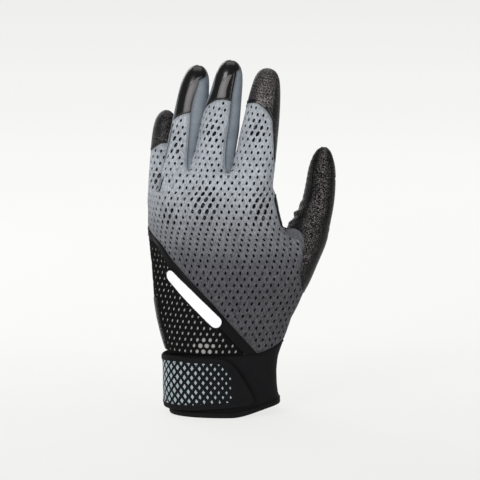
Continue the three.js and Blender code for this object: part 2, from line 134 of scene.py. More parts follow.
# lights: place, aim and size in metres, and power in watts
studio = {
    "lights": {
        "key": ((-0.85, -1.25, 0.75), (0, 0, 0.12), (0.6, 0.8), 14),
        "fill": ((1.0, -1.2, 0.45), (0, 0, 0.12), (0.5, 0.8), 3.4),
        "top": ((0, 0.15, 1.2), (0, 0, 0.1), (0.9, 0.7), 3),
        "rim": ((-0.6, 0.9, 0.7), (0, 0, 0.12), (0.5, 0.8), 3),
        "backdrop": ((0, 1.7, 1.7), (0, 3.2, 0.0), (4.0, 0.8), 26),
    },
    "world": 0.22, "sweepStart": 2.2, "sweepRadius": 0.8, "wallTop": 3.2, "front": -3.5, "halfWidth": 4.0,
    "paper": 0.12, "glow": [(-0.4, 231), (0.0, 236), (0.12, 239), (0.3, 243), (0.65, 244), (1.4, 244),
                            (2.65, 238), (3.05, 231), (3.3, 222)],
}


def areaLight(name, place, aim, size, power):
    data = bpy.data.lights.new(name, "AREA")
    data.shape = "RECTANGLE"
    data.size, data.size_y = size
    data.energy = power
    obj = addObject(name, data)
    obj.location = place
    obj.rotation_euler = (Vector(aim) - Vector(place)).to_track_quat("-Z", "Y").to_euler()


def makeBackdrop():
    # paper that runs from the floor up the wall in one sweep
    s = studio
    profile = [(s["front"], 0), (s["sweepStart"], 0)]
    for angle in np.radians(np.linspace(6, 90, 15)):
        run, rise = s["sweepRadius"] * math.sin(angle), s["sweepRadius"] * (1 - math.cos(angle))
        profile.append((s["sweepStart"] + run, rise))
    profile.append((profile[-1][0], s["wallTop"]))
    verts = [(x, y, z) for y, z in profile for x in (-s["halfWidth"], s["halfWidth"])]
    faces = [(2 * i, 2 * i + 1, 2 * i + 3, 2 * i + 2) for i in range(len(profile) - 1)]
    mesh = bpy.data.meshes.new("backdrop")
    mesh.from_pydata(verts, [], faces)
    mesh.polygons.foreach_set("use_smooth", [True] * len(faces))
    grey = (s["paper"], s["paper"], s["paper"] * 0.995, 1)
    paper, tree, shader, place = startMaterial("backdrop paper", 0.8, Specular_IOR_Level=0.1,
                                               Emission_Strength=1.0, Base_Color=grey)
    parts = addNode(tree, "SeparateXYZ", in0=place).outputs
    first, last = s["glow"][0][0], s["glow"][-1][0]
    glow = addNode(tree, "ValToRGB", in0=spread(tree, math2(tree, "ADD", parts[1], parts[2]), first, last))
    setStops(glow, [((at - first) / (last - first),
                     [0.92 * value for value in toLinear(grey, grey, grey - 1)])
                    for at, grey in s["glow"]])
    feed(tree, shader.inputs["Emission Color"], glow.outputs[0])
    mesh.materials.append(paper)
    addObject("backdrop", mesh)


def makeStudio():
    for name, (place, aim, size, power) in studio["lights"].items():
        areaLight(name, place, aim, size, power)
    world = bpy.data.worlds.new("world")
    bpy.context.scene.world = world
    world.use_nodes = True
    background = world.node_tree.nodes["Background"]
    background.inputs["Color"].default_value = (1, 1, 1, 1)
    background.inputs["Strength"].default_value = studio["world"]
    bpy.context.scene.view_settings.view_transform = "Standard"
    makeBackdrop()


bpy.ops.object.select_all(action="DESELECT")
makeCamera()

# The glove's inner form: lofts for hand, fingers and thumb, joined and smoothed. Panels lie on it.
hand = {
    # row, left and right column, share of the knuckle arch, share of the cuff's extra depth
    "rows": [
        (424, 171, 279.5, 0, 1), (417.5, 170.5, 279.5, 0, 1), (405, 169, 279, 0, 1), (390, 168.5, 277, 0, 1),
        (375, 168.5, 276.5, 0, 1), (360, 168, 278, 0, 1), (350, 164, 281.6, 0.02, 0.98),
        (338, 160.4, 286, 0.08, 0.92), (322, 156.4, 291.3, 0.2, 0.8), (305, 153.4, 299.8, 0.32, 0.68),
        (288, 152, 305.3, 0.45, 0.56), (270, 150.4, 306.5, 0.58, 0.44), (252, 148, 301, 0.72, 0.32),
        (238, 147, 290, 0.83, 0.22), (226, 146.3, 282.5, 0.91, 0.12), (212, 146.2, 279, 0.98, 0.02),
        (201, 146.6, 277.3, 1, -0.08), (194, 148.4, 276.3, 1, -0.22),
    ],
    "knuckles": [(151, 24), (161.5, 19.4), (178.5, 1.8), (213.5, -6), (252, -11), (276, -10)],
    "cuffMiddle": 1.9, "cuffDepth": 54, "palmDepth": 27, "fullness": 0.72, "sides": 96,
}
fingers = {
    "index": {
        "root": (254.8, 168), "tip": (268.6, 70.2), "depth": -11, "curl": 3, "width": 26.4, "thick": 22.6,
        "turn": 8, "taper": [(-0.3, 1.1), (0, 1.02), (0.26, 0.96), (0.46, 0.91), (0.61, 0.85), (0.72, 0.79),
                             (0.82, 0.72), (0.91, 0.6), (0.96, 0.45), (0.985, 0.3), (1, 0.02)], "reach": 30},
    "middle": {
        "root": (213.5, 166.5), "tip": (232.4, 62), "depth": -6, "curl": 2, "width": 25.6, "thick": 22.6,
        "turn": 16, "taper": [(0, 1), (0.3, 0.99), (0.46, 0.96), (0.57, 0.9), (0.67, 0.84), (0.79, 0.77),
                              (0.89, 0.67), (0.95, 0.5), (0.985, 0.3), (1, 0.02)], "reach": 30},
    "ring": {
        "root": (178.5, 168.5), "tip": (200, 66), "depth": 1.8, "curl": 3, "width": 20.8, "thick": 19.2,
        "turn": 28, "taper": [(0, 1), (0.4, 1), (0.62, 1), (0.78, 0.96), (0.87, 0.84), (0.93, 0.68),
                              (0.97, 0.46), (0.99, 0.26), (1, 0.02)], "reach": 30},
    "little": {
        "root": (160.6, 190), "tip": (166.6, 108.5), "depth": 19.4, "curl": 3, "width": 18.8, "thick": 16.8,
        "turn": 42, "taper": [(0, 1), (0.4, 1), (0.62, 0.99), (0.78, 0.92), (0.88, 0.77), (0.94, 0.57),
                              (0.98, 0.34), (1, 0.02)], "reach": 14},
}
thumb = {
    "width": 21.6, "thickShare": 0.94, "depth": -2,
    "spine": [((280, 300), 1.0), ((289, 278), 1.27), ((298, 256), 1.31), ((306.5, 235), 1.32),
              ((312, 220), 1.16), ((317.3, 204), 1.01), ((320, 187), 0.94), ((321.3, 171), 0.85),
              ((322, 161), 0.71), ((322.8, 153), 0.5), ((323.2, 148.5), 0.26), ((323.4, 146.5), 0.02)],
}


def evenly(line, count):
    # points spread evenly along a line
    reach = np.concatenate([[0], np.cumsum(np.linalg.norm(np.diff(line, axis=0), axis=1))])
    even = np.linspace(0, reach[-1], count)
    return np.stack([np.interp(even, reach, line[:, k]) for k in range(line.shape[1])], axis=1)


def smoothLine(points, count):
    # points spread evenly along a Catmull-Rom curve
    p = np.array(points, float)
    p = np.vstack([2 * p[0] - p[1], p, 2 * p[-1] - p[-2]])
    line = []
    for i in range(1, len(p) - 2):
        for t in np.linspace(0, 1, 24, endpoint=False):
            line.append(0.5 * (2 * p[i] + (p[i + 1] - p[i - 1]) * t
                               + (2 * p[i - 1] - 5 * p[i] + 4 * p[i + 1] - p[i + 2]) * t ** 2
                               + (3 * p[i] - p[i - 1] - 3 * p[i + 1] + p[i + 2]) * t ** 3))
    line.append(p[-2])
    line = np.array(line)
    return evenly(line, count)


def handRow(row):
    rows = hand["rows"]
    keys = [-r[0] for r in rows]
    return [np.interp(-row, keys, [r[k] for r in rows]) for k in range(1, 5)]


def midline(row):
    left, right, arch, _ = handRow(row)
    last = len(hand["knuckles"]) - 1
    points = []
    for i, (column, depth) in enumerate(hand["knuckles"]):
        flat = columnX(left) + (columnX(right) - columnX(left)) * i / last
        deep = hand["cuffMiddle"] + (depth - hand["cuffMiddle"]) * arch
        points.append((flat + (columnX(column) - flat) * arch, deep))
    line = smoothLine(points, 65)
    low, high = line[0, 0], line[-1, 0]
    line[:, 0] = columnX(left) + (line[:, 0] - low) * (columnX(right) - columnX(left)) / (high - low)
    return line


def handRing(row):
    extra = handRow(row)[3]
    half = (hand["palmDepth"] + (hand["cuffDepth"] - hand["palmDepth"]) * extra) / 2
    line = midline(row)
    tangent = heading(line)
    ring = []
    for angle in np.linspace(0, 2 * math.pi, hand["sides"], endpoint=False):
        place = (1 + math.cos(angle)) / 2 * (len(line) - 1)
        out = math.sin(angle)
        thick = half * math.copysign(abs(out) ** hand["fullness"], out)
        at = [np.interp(place, range(len(line)), line[:, k]) for k in (0, 1)]
        t = [np.interp(place, range(len(line)), tangent[:, k]) for k in (0, 1)]
        ring.append((at[0] - t[1] * thick, at[1] + t[0] * thick, rowZ(row)))
    ring = np.array(ring)
    left, right = columnX(handRow(row)[0]), columnX(handRow(row)[1])
    low, high = ring[:, 0].min(), ring[:, 0].max()
    ring[:, 0] = left + (ring[:, 0] - low) * (right - left) / (high - low)
    return ring


def fingerFrame(finger):
    root = np.array((columnX(finger["root"][0]), finger["depth"], rowZ(finger["root"][1])))
    tipHeight = seenZ(finger["tip"][1], finger["depth"] + finger["curl"])
    tip = np.array((columnX(finger["tip"][0]), finger["depth"], tipHeight))
    length = np.linalg.norm(tip - root)
    along = (tip - root) / length
    across = np.array((along[2], 0, -along[0]))
    turn = math.radians(finger["turn"])
    back = np.array((0, 1.0, 0))
    return {"root": root, "along": along, "length": length,
            "wide": across * math.cos(turn) - back * math.sin(turn),
            "palm": across * math.sin(turn) + back * math.cos(turn)}


def fingerCentre(finger, f, distance):
    share = min(max(distance / f["length"], 0), 1)
    return f["root"] + f["along"] * distance + np.array((0, finger["curl"] * share * share, 0))


def taperAt(finger, share):
    return float(np.interp(share, *zip(*finger["taper"])))


def fingerRings(finger, sides=32):
    f = fingerFrame(finger)
    stops = [-finger["reach"] / f["length"]] + list(np.linspace(0, 0.86, 14)) + [
        0.9, 0.93, 0.955, 0.975, 0.988, 0.996, 1.0]
    rings = []
    for share in stops:
        scale = taperAt(finger, share)
        centre = fingerCentre(finger, f, share * f["length"])
        ring = [centre + f["wide"] * finger["width"] / 2 * scale * math.cos(a)
                + f["palm"] * finger["thick"] / 2 * scale * math.sin(a)
                for a in np.linspace(0, 2 * math.pi, sides, endpoint=False)]
        rings.append(np.array(ring))
    return rings


def thumbSpine():
    points = [(columnX(x), seenZ(z, thumb["depth"]), share * thumb["width"] / 2)
              for (x, z), share in thumb["spine"]]
    return smoothLine(points, 40)


def thumbRings(sides=32):
    line = thumbSpine()
    tangent = heading(line[:, :2])
    rings = []
    for (x, z, half), (tx, tz) in zip(line, tangent):
        ring = []
        for a in np.linspace(0, 2 * math.pi, sides, endpoint=False):
            wide, deep = half * math.cos(a), thumb["thickShare"] * half * math.sin(a)
            ring.append((x + tz * wide, thumb["depth"] + deep, z - tx * wide))
        rings.append(np.array(ring))
    return rings


def webRings():
    # the hand's top between ring, middle and index finger
    rings = []
    for row, thin in ((215, 1.2), (190, 0.6), (178, 0.7), (174, 1.6), (172.5, 4)):
        line = []
        for name in ("ring", "middle", "index"):
            finger = fingers[name]
            f = fingerFrame(finger)
            down = (rowZ(row) - f["root"][2]) / f["along"][2]
            at = fingerCentre(finger, f, down)
            line.append((at[0], at[1], finger["thick"] / 2 - thin))
        line = smoothLine(line, 17)
        side = [(x, y - half, rowZ(row)) for x, y, half in line]
        side += [(x, y + half, rowZ(row)) for x, y, half in reversed(line)]
        rings.append(np.array(side))
    return rings


def makeForm():
    lofts = [[handRing(r[0]) for r in hand["rows"]], webRings(), thumbRings()]
    lofts += [fingerRings(finger) for finger in fingers.values()]
    objects = []
    for rings in lofts:
        mesh = bpy.data.meshes.new("loft")
        mesh.from_pydata([tuple(p) for ring in rings for p in ring], [], tubeFaces(len(rings), len(rings[0])))
        objects.append(addObject("loft", mesh))
    bpy.ops.object.select_all(action="DESELECT")
    for obj in objects:
        obj.select_set(True)
    bpy.context.view_layer.objects.active = objects[0]
    bpy.ops.object.join()
    form = bpy.context.object
    form.name = "gloveForm"
    faceOut(form)
    remesh = form.modifiers.new("remesh", "REMESH")
    remesh.mode = "VOXEL"
    remesh.voxel_size = 1.1
    bpy.ops.object.modifier_apply(modifier="remesh")
    return form


def relax(form, rounds, keepLow, keepHigh):
    # evens out the joins between lofts, mostly round the knuckles and the thumb's root
    mesh = form.data
    co = readAll(mesh.vertices, "co", 3)
    edges = readAll(mesh.edges, "vertices", 2, int)
    count = np.bincount(edges.ravel(), minlength=len(co)).astype(float)[:, None]
    weight = np.clip((co[:, 2] - keepLow[0]) / (keepLow[1] - keepLow[0]), 0, 1)
    weight *= np.clip((keepHigh[1] - co[:, 2]) / (keepHigh[1] - keepHigh[0]), 0, 1)
    weight = (0.25 + 0.75 * weight)[:, None]
    for i in range(rounds):
        for factor in (0.5, -0.51):
            total = np.zeros_like(co)
            np.add.at(total, edges[:, 0], co[edges[:, 1]])
            np.add.at(total, edges[:, 1], co[edges[:, 0]])
            co += factor * weight * (total / count - co)
    mesh.vertices.foreach_set("co", co.ravel())
    mesh.update()


form = makeForm()
relax(form, 24, (70, 95), (172, 190))
formTree = BVHTree.FromObject(form, bpy.context.evaluated_depsgraph_get())
print("inner form ready:", len(form.data.vertices), "points")


# Pixels of the photo to points on the form, and back
eye = Vector(bpy.context.scene.camera.location) * 1000
aim = Vector((columnX(240), 0, seenZ(240, 0)))
upward = Vector((0, tiltSin, tiltCos))


def pixelRay(column, row):
    target = aim + Vector((1, 0, 0)) * (column - 240) * photo["mmPerPixel"]
    target += upward * (240 - row) * photo["mmPerPixel"]
    return (target - eye).normalized()


def pick(column, row):
    ray = pixelRay(column, row)
    hit = formTree.ray_cast(eye, ray)[0]
    if hit is None:
        near = eye + ray * (eye.length + 5)
        hit = formTree.find_nearest(near)[0]
        near = eye + ray * (hit - eye).dot(ray)
        hit = formTree.find_nearest(near)[0]
    return np.array(hit)


def toPixel(points):
    rel = np.asarray(points, float) - np.array(eye)
    deep = -rel @ np.array((0, -tiltCos, tiltSin))
    scale = camera["distance"] * 1000 / deep / photo["mmPerPixel"]
    return np.stack([240 + rel[:, 0] * scale, 240 - rel @ np.array(upward) * scale], axis=1)


# A chart unrolls part of the form: u runs round it in mm from the middle of its back, v runs along it
class Chart:
    def __init__(self, rows, sides, byArc, radius, limit, step=0.75):
        # rows: origin, back, right, along, tilt, key
        self.C, self.A, self.B, self.T = [np.array([r[k] for r in rows], float) for k in range(4)]
        self.tilt = np.array([r[4] for r in rows])
        self.byArc, self.radius = byArc, radius
        phi = np.linspace(-math.pi, math.pi, sides, endpoint=False)
        R = np.zeros((len(rows), sides))
        D = np.zeros((len(rows), sides, 3))
        for i in range(len(rows)):
            flat, rise = math.cos(self.tilt[i]), math.sin(self.tilt[i])
            level = np.outer(np.cos(phi), self.A[i]) + np.outer(np.sin(phi), self.B[i])
            D[i] = flat * level + rise * self.T[i]
            for j in range(sides):
                hit = formTree.ray_cast(Vector(self.C[i]), Vector(D[i, j]))
                R[i, j] = min(hit[3] if hit[0] is not None else 1e3, limit(i, phi[j]))
        for i in range(3):
            smooth = (np.roll(R, 1, 1) + 2 * R + np.roll(R, -1, 1)) / 4
            R = np.where(abs(smooth - R) < 1.2, smooth, R)
            smooth = R.copy()
            smooth[1:-1] = (R[:-2] + 2 * R[1:-1] + R[2:]) / 4
            R = np.where(abs(smooth - R) < 1.2, smooth, R)
        P = self.C[:, None] + D * R[:, :, None]
        length = np.linalg.norm(np.diff(P, axis=0), axis=2).mean(1)
        self.V = np.concatenate([[0], np.cumsum(length)])
        self.phi = np.append(phi, math.pi)
        ring = np.concatenate([P, P[:, :1]], axis=1)
        arc = np.concatenate([np.zeros((len(rows), 1)),
                              np.cumsum(np.linalg.norm(np.diff(ring, axis=1), axis=2), axis=1)], axis=1)
        middle = sides // 2
        if byArc:
            self.S = arc - arc[:, middle:middle + 1]
            self.around = arc[:, -1]
            reach = self.around.max() + 8
        else:
            self.S = np.repeat((self.phi * radius)[None], len(rows), axis=0)
            self.around = np.full(len(rows), 2 * math.pi * radius)
            reach = 2 * math.pi * radius
        self.U = np.arange(-reach, reach + step, step)
        G = np.zeros((len(rows), len(self.U), 3))
        for i in range(len(rows)):
            low = self.S[i, 0]
            wrapped = (self.U - low) % self.around[i] + low
            for k in range(3):
                G[i, :, k] = np.interp(wrapped, self.S[i], ring[i, :, k])
        self.G = G
        du = np.gradient(G, self.U, axis=1)
        dv = np.gradient(G, self.V, axis=0)
        N = np.cross(du, dv)
        N /= np.maximum(np.linalg.norm(N, axis=2), 1e-9)[:, :, None]
        out = np.sum(N * (G - self.C[:, None]), axis=2)
        N *= np.sign(out.sum())
        weak = np.linalg.norm(du, axis=2) < 0.05
        N[weak] = np.repeat(self.T[:, None], len(self.U), axis=1)[weak]
        self.N = N

    def place(self, uv):
        uv = np.asarray(uv, float).reshape(-1, 2)
        i = np.clip(np.searchsorted(self.V, uv[:, 1]) - 1, 0, len(self.V) - 2)
        f = np.clip((uv[:, 1] - self.V[i]) / (self.V[i + 1] - self.V[i]), 0, 1)[:, None]
        x = np.clip((uv[:, 0] - self.U[0]) / (self.U[1] - self.U[0]), 0, len(self.U) - 1.001)
        j = x.astype(int)
        g = (x - j)[:, None]
        out = []
        for table in (self.G, self.N):
            low = table[i, j] * (1 - g) + table[i, j + 1] * g
            high = table[i + 1, j] * (1 - g) + table[i + 1, j + 1] * g
            out.append(low * (1 - f) + high * f)
        out[1] /= np.maximum(np.linalg.norm(out[1], axis=1), 1e-9)[:, None]
        return out[0], out[1]

    def locate(self, point):
        rel = point - self.C
        along = np.sum(rel * self.T, axis=1)
        flat = np.where(self.tilt < 1e-6)[0]
        last = flat[-1]
        if along[last] >= 0 and last < len(self.C) - 1:
            side = rel[last] - self.T[last] * along[last]
            tilt = math.atan2(along[last], np.linalg.norm(side))
            x = np.interp(tilt, self.tilt[last:], np.arange(last, len(self.C)))
        else:
            best, x = 1e9, 0.0
            for i in flat[:-1]:
                if along[i] >= 0 > along[i + 1]:
                    away = np.linalg.norm(rel[i])
                    if away < best:
                        best, x = away, i + along[i] / (along[i] - along[i + 1])
            if best == 1e9:
                x = 0.0 if along[0] < 0 else float(last)
        i = min(int(x), len(self.C) - 2)
        f = x - i
        rel = point - (self.C[i] * (1 - f) + self.C[i + 1] * f)
        A = self.A[i] * (1 - f) + self.A[i + 1] * f
        B = self.B[i] * (1 - f) + self.B[i + 1] * f
        angle = math.atan2(rel @ B, rel @ A)
        low, high = [np.interp(angle, self.phi, self.S[k]) for k in (i, i + 1)]
        return low * (1 - f) + high * f, self.V[i] * (1 - f) + self.V[i + 1] * f

    def seen(self, pixels, lift=0.0):
        # chart places of points that show at these pixels, on a layer that stands proud by lift
        found = []
        for column, row in pixels:
            x, y = column, row
            for i in range(4):
                uv = self.locate(pick(x, y))
                if not lift:
                    break
                at, normal = self.place([uv])
                miss = toPixel(at + normal * lift)[0] - (column, row)
                x, y = x - miss[0], y - miss[1]
            found.append(uv)
        return found

    def atHeight(self, u, z):
        # where a line along the chart reaches this height
        at = self.place(np.stack([np.full(len(self.V), u), self.V], axis=1))[0][:, 2]
        rising = np.maximum.accumulate(at)
        return float(np.interp(z, rising, self.V))


def handChart(middle, right):
    rows = []
    for z in np.arange(-4, 170.1, 1.5):
        line = midline(photo["hemRow"] - z / photo["mmPerPixel"])
        centre = line[len(line) // 2]
        rows.append(((centre[0], centre[1], z), middle, right, (0, 0, 1), 0.0))
    return Chart(rows, 200, True, 0, lambda i, angle: 90)


def fingerChart(finger, low):
    f = fingerFrame(finger)
    half = (finger["width"] + finger["thick"]) / 4
    cap = f["length"] - half * 0.72
    rows = [(fingerCentre(finger, f, t), -f["palm"], f["wide"], f["along"], 0.0)
            for t in np.arange(low, cap, 1.3)]
    rows.append((fingerCentre(finger, f, cap), -f["palm"], f["wide"], f["along"], 0.0))
    stops = [(row[0] - f["root"]) @ f["along"] for row in rows]
    for tilt in np.linspace(0, math.pi / 2, 15)[1:]:
        rows.append((rows[len(stops) - 1][0], -f["palm"], f["wide"], f["along"], tilt))

    def limit(i, angle):
        if i >= len(stops):
            return 99
        scale = taperAt(finger, stops[i] / f["length"])
        own = scale / 2 / math.hypot(math.cos(angle) / finger["thick"], math.sin(angle) / finger["width"])
        return own + float(np.interp(stops[i], (-6, 9), (5, 0.9)))
    return Chart(rows, 72, False, half * 0.92, limit)


def thumbChart():
    line = thumbSpine()
    deep = thumb["depth"]
    even = smoothLine(line, 90)
    tangent = heading(even[:, :2])
    length = np.linalg.norm(np.diff(even[:, :2], axis=0), axis=1).sum()
    rows, halves = [], []
    stop = int(89 - 7.5 / length * 89)
    for i in range(stop + 1):
        tx, tz = tangent[i]
        rows.append(((even[i, 0], deep, even[i, 1]), (0, -1, 0), (tz, 0, -tx), (tx, 0, tz), 0.0))
        halves.append(even[i, 2])
    for tilt in np.linspace(0, math.pi / 2, 13)[1:]:
        rows.append((*rows[stop][:4], tilt))

    def limit(i, angle):
        return 99 if i > stop else halves[i] * 1.2 + 1.5
    return Chart(rows, 72, False, 11, limit)


handMap = handChart((0, -1, 0), (1, 0, 0))
palmMap = handChart((0, 1, 0), (-1, 0, 0))
fingerMaps = {name: fingerChart(finger, -20 if name == "ring" else -9) for name, finger in fingers.items()}
thumbMap = thumbChart()
print("charts ready")


def sideAt(z, degrees, turn=0):
    # place on the hand's chart at this height, at this angle from the middle of the back
    x = min(max((z - handMap.C[0, 2]) / 1.5, 0), len(handMap.C) - 1.001)
    i, f = int(x), x - int(x)
    u = [np.interp(math.radians(degrees), handMap.phi, handMap.S[k]) + turn * handMap.around[k]
         for k in (i, i + 1)]
    return u[0] * (1 - f) + u[1] * f, handMap.V[i] * (1 - f) + handMap.V[i + 1] * f


def leftAt(z, turn=0):
    # the border between back and palm on the little finger's side, just behind the photo's outline
    return sideAt(z, -np.interp(z, *zip(*lines["leftAngles"])), turn)


def heights(low, high):
    # heights about 3 mm apart
    return np.linspace(low, high, max(2, int(abs(high - low) / 3) + 1))


def leftLine(low, high):
    return [leftAt(z) for z in heights(low, high)]


def palmPoint(column, row):
    # point of the palm side that lies straight behind this pixel's column and row
    hit = formTree.ray_cast(Vector((columnX(column), 200, rowZ(row))), Vector((0, -1, 0)))[0]
    return np.array(hit)


def dense(line, step=1.3, smooth=True):
    line = np.array(line, float)
    length = np.linalg.norm(np.diff(line, axis=0), axis=1).sum()
    count = max(3, int(length / step) + 1)
    return smoothLine(line, count) if smooth and len(line) > 2 else evenly(line, count)


def shifted(line, away):
    # the line moved sideways, to its left where away is positive
    line = np.array(line, float)
    step = heading(line)
    return line + np.stack([-step[:, 1], step[:, 0]], axis=1) * away


def joined(*stretches):
    # closed outline from stretches of (points, is a seam), with a seam flag for each edge
    points, seams = [], []
    for line, seam in stretches:
        for point in line:
            if points and np.linalg.norm(np.array(points[-1]) - point) < 0.25:
                continue
            points.append(np.array(point, float))
            seams.append(seam)
    if np.linalg.norm(points[0] - points[-1]) < 0.25:
        points.pop(), seams.pop()
    return np.array(points), np.array(seams)


def sewn(*lines):
    # the same where every edge is a seam
    return joined(*[(line, True) for line in lines])


def inside(points, outline):
    x, y = points[:, 0][:, None], points[:, 1][:, None]
    x0, y0 = outline[:, 0][None], outline[:, 1][None]
    x1, y1 = np.roll(outline[:, 0], -1)[None], np.roll(outline[:, 1], -1)[None]
    cross = (y0 > y) != (y1 > y)
    at = x0 + (y - y0) * (x1 - x0) / np.where(y1 == y0, 1e-9, y1 - y0)
    return (np.sum(cross & (x < at), axis=1) % 2) == 1


def edgeDistance(points, outline, mask=None):
    a, b = outline, np.roll(outline, -1, axis=0)
    if mask is not None:
        a, b = a[mask], b[mask]
    if len(a) == 0:
        return np.full(len(points), 1e3)
    nearest = np.full(len(points), 1e3)
    for low in range(0, len(points), 4000):
        p = points[low:low + 4000, None]
        d = b - a
        t = np.clip(np.sum((p - a) * d, axis=2) / np.maximum(np.sum(d * d, axis=1), 1e-9), 0, 1)
        nearest[low:low + 4000] = np.linalg.norm(p - a - t[:, :, None] * d, axis=2).min(1)
    return nearest


def lattice(chart, outline, seams, pitch, shape, origin=(0, 0), clear=0.6, sides=8, follow=None):
    # staggered rows of oval holes; shape gives a hole's half axes and slant from the pixel where it shows
    low, high = outline.min(0), outline.max(0)
    spots = []
    for row in range(int((low[1] - origin[1]) / pitch[1]) - 1, int((high[1] - origin[1]) / pitch[1]) + 2):
        shift = 0.5 * (row % 2)
        for k in range(int((low[0] - origin[0]) / pitch[0]) - 1, int((high[0] - origin[0]) / pitch[0]) + 2):
            u, v = origin[0] + (k + shift) * pitch[0], origin[1] + (row + 0.5) * pitch[1]
            spots.append((u, v + (follow(u, v) if follow else 0)))
    spots = np.array(spots)
    spots = spots[inside(spots, outline)]
    if not len(spots):
        return []
    away = edgeDistance(spots, outline, seams)
    openAway = edgeDistance(spots, outline, ~seams)
    pixels = toPixel(chart.place(spots)[0])
    holes = []
    for spot, gap, openGap, pixel in zip(spots, away, openAway, pixels):
        a, b, slant = shape(pixel)
        if gap < b + clear or openGap < b + 0.12:
            continue
        turn = math.radians(slant)
        loop = []
        for angle in np.linspace(0, 2 * math.pi, sides, endpoint=False):
            x, y = a * math.cos(angle), b * math.sin(angle)
            loop.append((spot[0] + x * math.cos(turn) + y * math.sin(turn),
                         spot[1] - x * math.sin(turn) + y * math.cos(turn)))
        holes.append(np.array(loop))
    return holes


def addMesh(name, look, verts, faces, uvs, seamShade=None, parts=(), sharp=None):
    # parts: threads and cords to join on, each as (verts, faces, number of its material)
    verts, uvs, faces = np.array(verts), np.array(uvs, float), list(faces)
    seamShade = np.zeros(len(verts)) if seamShade is None else seamShade
    sharp = np.zeros(len(verts), bool) if sharp is None else sharp
    which = [0] * len(faces)
    for more, moreFaces, number in parts:
        faces += [tuple(i + len(verts) for i in face) for face in moreFaces]
        which += [number] * len(moreFaces)
        verts = np.concatenate([verts, np.array(more)])
        uvs = np.concatenate([uvs, np.zeros((len(more), 2))])
        seamShade = np.concatenate([seamShade, np.zeros(len(more))])
        sharp = np.concatenate([sharp, np.zeros(len(more), bool)])
    mesh = bpy.data.meshes.new(name)
    mesh.from_pydata((verts * 0.001).tolist(), [], faces)
    loops = readAll(mesh.loops, "vertex_index", 1, int)
    mesh.uv_layers.new(name="UVMap").data.foreach_set("uv", uvs[loops].ravel())
    mesh.attributes.new("rim", "FLOAT", "POINT").data.foreach_set("value", seamShade)
    mesh.materials.append(finish[look])
    if parts:
        mesh.materials.append(finish["thread"])
    mesh.polygons.foreach_set("material_index", which)
    mesh.polygons.foreach_set("use_smooth", [True] * len(mesh.polygons))
    edges = readAll(mesh.edges, "vertices", 2, int)
    mesh.edges.foreach_set("use_edge_sharp", (sharp[edges[:, 0]] & sharp[edges[:, 1]]).tolist())
    mesh.update()
    return addObject(name, mesh)


def weld(obj):
    # closes the tip of a piece that runs up to its chart's pole
    editMesh(obj, (bpy.ops.mesh.remove_doubles, {"threshold": 0.00002}),
             (bpy.ops.mesh.dissolve_degenerate, {"threshold": 0.000005}))


def cordMesh(chart, line, lift, radius=0.5, sides=8):
    # a piped edge: round cord along a line of the chart
    at, normal = chart.place(dense(line, 0.9))
    side = np.cross(normal, heading(at))
    verts = []
    for p, n, s, share in zip(at, normal, side, np.linspace(0, 1, len(at))):
        size = radius * min(1, 0.2 + 9 * min(share, 1 - share))
        for angle in np.linspace(0, 2 * math.pi, sides, endpoint=False):
            verts.append(p + n * (lift + size * math.sin(angle)) + s * size * math.cos(angle))
    return verts, tubeFaces(len(at), sides)


def stitchMesh(chart, line, lift, pitch=2.7, long=1.75, thick=0.3, sides=6):
    # short threads that dip into the cloth at both ends
    line = dense(line, pitch)
    middle = (line[:-1] + line[1:]) / 2
    at, normal = chart.place(middle)
    ahead = unit(chart.place(middle + (line[1:] - line[:-1]) * 0.2)[0] - at)
    stations = (-1, -0.75, 0, 0.75, 1)
    verts, faces = [], []
    for p, n, t in zip(at, normal, ahead):
        side = np.cross(n, t)
        faces += tubeFaces(len(stations), sides, len(verts))
        for share in stations:
            wide = thick * max(0.25, 1 - share ** 4)
            centre = p + t * share * long / 2 + n * (lift + thick * (0.35 - 0.9 * share * share))
            for angle in np.linspace(0, 2 * math.pi, sides, endpoint=False):
                verts.append(centre + side * wide * math.cos(angle) + n * wide * 0.8 * math.sin(angle))
    return verts, faces


def dress(obj, nodes, on):
    # on: the body that the piece rides on; a bend between two bodies is not used, and the piece then only has
    # its transform baked
    if nodes:
        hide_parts(*nodes)
    if isinstance(on, str):
        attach(obj, on)
    else:
        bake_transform(obj)
    return obj


def clearOf(points, centres, reach, least):
    # which points keep away from all the holes
    keep = np.ones(len(points), bool)
    for low in range(0, len(points), 4000):
        away = np.linalg.norm(points[low:low + 4000, None] - centres, axis=2) - reach
        keep[low:low + 4000] = away.min(1) > least
    return keep


def panelPoints(outline, inward, seamPoint, holes, spacing, roll):
    # a staggered grid inside the outline, and close rows along the seams that roll inwards
    extra = []
    for depth in (0.45, 1.1) if roll else ():
        ring = outline[seamPoint] + inward[seamPoint] * depth
        extra.append(ring[inside(ring, outline) & (edgeDistance(ring, outline) > depth * 0.85)])
    low, high = outline.min(0), outline.max(0)
    rise = spacing * 0.866
    grid = []
    for row in range(int((high[1] - low[1]) / rise) + 2):
        xs = np.arange(low[0] + spacing * (0.25 + 0.5 * (row % 2)), high[0], spacing)
        grid.append(np.stack([xs, np.full(len(xs), low[1] + (row + 0.37) * rise)], axis=1))
    grid = np.concatenate(grid)
    grid = grid[inside(grid, outline)]
    grid = grid[edgeDistance(grid, outline) > spacing * (0.75 if roll else 0.45)]
    if len(holes):
        centres = np.array([hole.mean(0) for hole in holes])
        reach = np.array([np.linalg.norm(hole - hole.mean(0), axis=1).max() for hole in holes])
        grid = grid[clearOf(grid, centres, reach, spacing * 0.25)]
        extra = [ring[clearOf(ring, centres, reach, 0.15)] for ring in extra if len(ring)]
    return extra + [grid]


